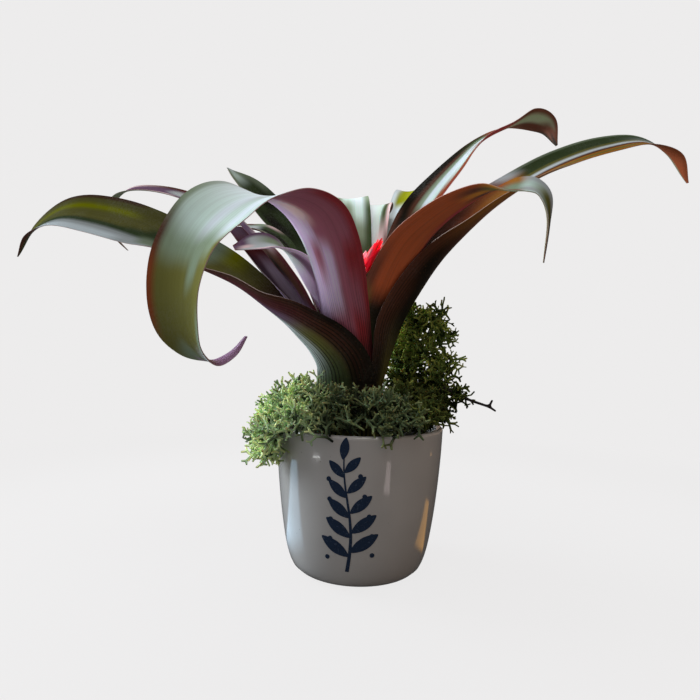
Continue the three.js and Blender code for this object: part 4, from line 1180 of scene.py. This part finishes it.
# %% [markdown]
# ## The printed sprig
#
# The mug has a navy print on its front: here a botanical sprig with paired leaves and
# small berries. Real mug prints are a film of glaze colour fired on, so the sprig is a
# thin film that follows the wall. Its shapes are drawn flat, with the arc along the wall
# as one side and the height as the other, and are then wrapped on.

# %% The ink
print_ink, tree, shader = recipe("navy print", coat_weight=0.5, coat_roughness=0.08,
                                 specular_ior_level=0.5)
place = put(tree, "TexCoord").outputs["Object"]
wear = put(tree, "TexNoise", (("Vector", place), ("Scale", 700.0), ("Detail", 4.0)))
wire(tree, shader,
     base_color=mixed(tree, ranged(tree, wear.outputs[0], 0.62, 0.78), colour(30, 52, 82),
                      colour(76, 94, 122)),
     roughness=ranged(tree, wear.outputs[0], 0.3, 0.7, 0.16, 0.3))
print("navy print:", len(tree.nodes), "nodes")

# %% Flat patches
LONG_PATCH, POINTED = 2, 0.45
STALK_STEPS, STALK_FOOT_SHARE, STALK_TAPER = 60, 1.2, 0.8
SWAY, SWAY_TURN = 1.8, 5


def film(corners, cuts, stretch, turn_degrees, at):
    """A flat rounded patch, from a filled circle that is stretched, turned and placed.

    A long one is a leaf, so it is drawn to a point at both ends.
    """
    bpy.ops.mesh.primitive_circle_add(vertices=corners, radius=1, fill_type="TRIFAN")
    patch = bpy.context.object
    bpy.ops.object.mode_set(mode="EDIT")
    bpy.ops.mesh.select_all(action="SELECT")
    bpy.ops.mesh.subdivide(number_cuts=cuts)
    bpy.ops.object.mode_set(mode="OBJECT")
    swing = Matrix.Rotation(math.radians(turn_degrees), 2)
    for point in patch.data.vertices:
        x, y = point.co.x, point.co.y
        y *= (1 - POINTED * x * x) if stretch[0] > LONG_PATCH * stretch[1] else 1
        flat = swing @ Vector((x * stretch[0], y * stretch[1])) + Vector(at)
        point.co = (flat.x, flat.y, 0)
    return patch


def sway(t):
    """How far the stalk is to the side at a share of its height, in mm."""
    return SWAY * math.sin(t * SWAY_TURN)


def stalk(foot, top, wide):
    """The sprig's stalk: one long strip that sways, from a grid with short steps."""
    bpy.ops.mesh.primitive_grid_add(x_subdivisions=2, y_subdivisions=STALK_STEPS, size=1)
    patch = bpy.context.object
    for point in patch.data.vertices:
        t = point.co.y + 0.5
        x = point.co.x * wide * (STALK_FOOT_SHARE - STALK_TAPER * t)
        point.co = (x + sway(t), foot + (top - foot) * t, 0)
    return patch


print("the stalk ends", round(sway(1), 2), "mm to the side")

# %% Wrap a patch on the wall
PRINT_TURN = math.radians(-97.8)
FILM_THICK, FILM_GAP = 0.12, 0.03


def wall_radius(z):
    """The mug's outer radius at a height, in mm."""
    for (r0, z0), (r1, z1) in zip(wall, wall[1:]):
        if z0 <= z <= z1:
            return r0 + (r1 - r0) * (z - z0) / (z1 - z0)
    return wall[-1][0]


def wrapped(patch):
    """Lays a flat patch on the wall and gives it the thickness of the film."""
    for point in patch.data.vertices:
        arc, z = point.co.x, point.co.y
        radius = wall_radius(z) + FILM_GAP
        angle = PRINT_TURN + arc / radius
        point.co = (radius * math.cos(angle) * MM, radius * math.sin(angle) * MM, z * MM)
    bpy.ops.object.select_all(action="DESELECT")
    patch.select_set(True)
    bpy.context.view_layer.objects.active = patch
    bpy.ops.object.mode_set(mode="EDIT")
    bpy.ops.mesh.select_all(action="SELECT")
    bpy.ops.mesh.normals_make_consistent(inside=False)
    bpy.ops.object.mode_set(mode="OBJECT")
    if sum(face.normal.dot(Vector((face.center.x, face.center.y, 0)))
           for face in patch.data.polygons) < 0:
        patch.data.flip_normals()
    apply_modifier(patch, "SOLIDIFY", thickness=FILM_THICK * MM, offset=1)
    return patch


print("the wall is", round(wall_radius(40), 1), "mm from the axis, 40 mm up")

# %% Draw the sprig and lay it on
PRINT_FOOT, PRINT_TOP, STALK_WIDTH = 10, 66, 1.5
PAIRS, FIRST_PAIR, NEXT_PAIR = 5, 0.14, 0.17
REACH, LESS_REACH, LEAF_HALF, LESS_HALF = 8.0, 0.7, 2.9, 0.2
LEAN, MORE_LEAN, LEAF_OFFSET, LEAF_RAISED = 34, 3, 1.04, 2.2
BERRY, BERRY_SHARE, BERRY_OUT, BERRY_RAISED, BERRY_DROP = 1.15, 1.15, 1.5, 2.0, 1.2
TOP_LEAF, TOP_TURN, TOP_SWAY, TOP_RISE = (5.2, 2.2), 82, 1.04, 3.4
LEAF_CORNERS, BERRY_CORNERS = 28, 16

patches = [stalk(PRINT_FOOT, PRINT_TOP, STALK_WIDTH)]
for i in range(PAIRS):
    t = FIRST_PAIR + NEXT_PAIR * i
    z = PRINT_FOOT + (PRINT_TOP - PRINT_FOOT) * t
    reach = REACH - LESS_REACH * i
    for hand in (1, -1):
        lean = math.radians(LEAN + MORE_LEAN * i)
        swing = math.degrees(lean) if hand > 0 else 180 - math.degrees(lean)
        middle = (sway(t) + hand * reach * math.cos(lean) * LEAF_OFFSET,
                  z + LEAF_RAISED * (hand > 0) + reach * math.sin(lean))
        patches.append(film(LEAF_CORNERS, 1, (reach, LEAF_HALF - LESS_HALF * i), swing, middle))
        patches.append(film(BERRY_CORNERS, 0, (BERRY, BERRY), 0,
                            (sway(t) + hand * (reach * BERRY_SHARE + BERRY_OUT),
                             z + BERRY_RAISED * (hand > 0) - BERRY_DROP)))
patches.append(film(LEAF_CORNERS, 1, TOP_LEAF, TOP_TURN, (sway(TOP_SWAY), PRINT_TOP + TOP_RISE)))
print("print patches:", len(patches))
settle(join([wrapped(patch) for patch in patches]), "mug_print_sprig", (),
       (print_ink,), angle=50)

# %% [markdown]
# ## Stage and light
#
# The light comes from the left, and the front of the room is dim, so the mug's front is
# grey and its right side sinks into shade. The floor is pale to the camera but gives back
# little light. Glaze is only convincing with something to mirror, so the glossy rays alone
# meet a few soft coloured patches on the floor.

# %% The floor
PALE = colour(237, 236, 236)
FLOOR_RADIUS, FLOOR_DROP = 2.6, 0.0002
bpy.ops.mesh.primitive_circle_add(vertices=96, radius=FLOOR_RADIUS, fill_type="TRIFAN",
                                  location=(0, 0, 0))
floor = bpy.context.object
floor.name = floor.data.name = "floor"
floor.data.transform(Matrix.Translation((0, 0, -FLOOR_DROP)))
print("floor:", FLOOR_RADIUS, "m in radius")

# %% What the camera sees of the floor
NEAR, SHADE_SHARE, NEAR_GLOW = (0.08, 0.5), 0.13, 1.09
floor_paint, tree, shader = recipe("pale floor", roughness=0.9, specular_ior_level=0.0)
place = put(tree, "TexCoord").outputs["Object"]
reach = put(tree, "VectorMath", ((0, place),), operation="LENGTH").outputs["Value"]
near = ranged(tree, reach, *NEAR, 1.0, 0.0)
shade_part = put(tree, "BsdfDiffuse", (("Color", colour(160, 160, 162)),))
glow = put(tree, "Emission", (("Color", PALE),
                              ("Strength", ranged(tree, near, 0, 1, 1, NEAR_GLOW))))
near_share = put(tree, "Math", ((0, near), (1, SHADE_SHARE)), operation="MULTIPLY")
seen = put(tree, "MixShader", ((0, near_share.outputs[0]), (1, glow.outputs[0]),
                               (2, shade_part.outputs[0])))
print("floor as the camera sees it:", len(tree.nodes), "nodes")

# %% What the glaze mirrors
TABLE = (0.05, 0.05, 0.05, 1)
# patches of light on the floor: (middle in mm, turn in degrees, half sizes in mm, colour)
GLINTS = (((-175, 8), -4, (125, 26), (0.9, 1.3, 1.65, 1)),
          ((108, -156), -50, (47, 10), (1.5, 1.25, 1.25, 1)),
          ((-203, -142), 35, (6, 24), (6.0, 6.0, 6.0, 1)),
          ((92, 10), 28, (42, 12), (1.0, 0.52, 0.14, 1)),
          ((271, 82), 17, (10, 10), (0.9, 0.5, 0.2, 1)))
SOFT_EDGE = (1.1, 0.8)
table = TABLE
for at, turn, half_size, tint in GLINTS:
    spot = put(tree, "Mapping", (("Vector", place), ("Location", (at[0] * MM, at[1] * MM, 0)),
                                 ("Rotation", (0, 0, math.radians(turn))),
                                 ("Scale", (half_size[0] * MM, half_size[1] * MM, 1))),
               vector_type="TEXTURE")
    sides = put(tree, "SeparateXYZ", ((0, spot.outputs[0]),))
    masks = [ranged(tree, put(tree, "Math", ((0, side_out),), operation="ABSOLUTE").outputs[0],
                    *SOFT_EDGE) for side_out in sides.outputs[:2]]
    both_masks = put(tree, "Math", ((0, masks[0]), (1, masks[1])), operation="MULTIPLY")
    table = mixed(tree, both_masks.outputs[0], table, tint)
mirrored = put(tree, "Emission", (("Color", table),))
print("patches to mirror:", len(GLINTS))

# %% Finish the floor
hidden = put(tree, "BsdfDiffuse", (("Color", colour(120, 116, 112)),))
path = put(tree, "LightPath")
unseen = put(tree, "MixShader", ((0, path.outputs["Is Glossy Ray"]), (1, hidden.outputs[0]),
                                 (2, mirrored.outputs[0])))
both = put(tree, "MixShader", ((0, path.outputs["Is Camera Ray"]), (1, unseen.outputs[0]),
                               (2, seen.outputs[0])))
tree.links.new(both.outputs[0], tree.nodes["Material Output"].inputs["Surface"])
floor.data.materials.append(floor_paint)
floor.select_set(False)
print("pale floor:", len(tree.nodes), "nodes")

# %% [markdown]
# ## The air and the lights
#
# Round the plant the room is only light: warm on the right, cool by the window, grey
# overhead. To the camera the air is as pale as the floor. Two area lights do the rest,
# because a window is broad and near, and a small lamp would throw hard shadows.

# %% The air
WARM_SIDE, COOL_SIDE, OVERHEAD = (0.25, 0.175, 0.13, 1), (0.27, 0.34, 0.41, 1), (0.3, 0.3, 0.3, 1)
world = bpy.context.scene.world or bpy.data.worlds.new("room")
bpy.context.scene.world = world
world.use_nodes = True
tree = world.node_tree
tree.nodes.clear()
path = put(tree, "LightPath")
air = put(tree, "TexCoord")
split = put(tree, "SeparateXYZ", ((0, air.outputs["Generated"]),))
room = mixed(tree, ranged(tree, split.outputs[0], 0.3, -0.9), WARM_SIDE, COOL_SIDE)
room = mixed(tree, ranged(tree, split.outputs[2], 0.25, 0.95), room, OVERHEAD)
seen_air = mixed(tree, path.outputs["Is Camera Ray"], room, PALE)
back = put(tree, "Background", (("Color", seen_air), ("Strength", 1.0)))
put(tree, "OutputWorld", (("Surface", back.outputs[0]),))
print("air:", len(tree.nodes), "nodes")


# %% The lights
def panel(name, at, aim, size, power, tint):
    """A soft rectangular light at a place, turned to what it lights."""
    bpy.ops.object.light_add(type="AREA", location=at)
    light = bpy.context.object
    light.name = name
    light.data.shape = "RECTANGLE"
    light.data.size, light.data.size_y = size
    light.data.energy = power
    light.data.color = tint
    light.visible_camera = False
    light.rotation_euler = (Vector(aim) - Vector(at)).to_track_quat("-Z", "Y").to_euler()
    light.select_set(False)


panel("window", at=(-0.8, 0.3, 0.42), aim=(0, 0, 0.12), size=(0.45, 0.6), power=10.0,
      tint=(0.86, 0.93, 1.0))
panel("ceiling", at=(-0.15, -0.1, 1.1), aim=(0, 0, 0.1), size=(0.9, 0.7), power=5.0,
      tint=(1.0, 0.99, 0.97))
bpy.context.scene.view_settings.view_transform = "Standard"
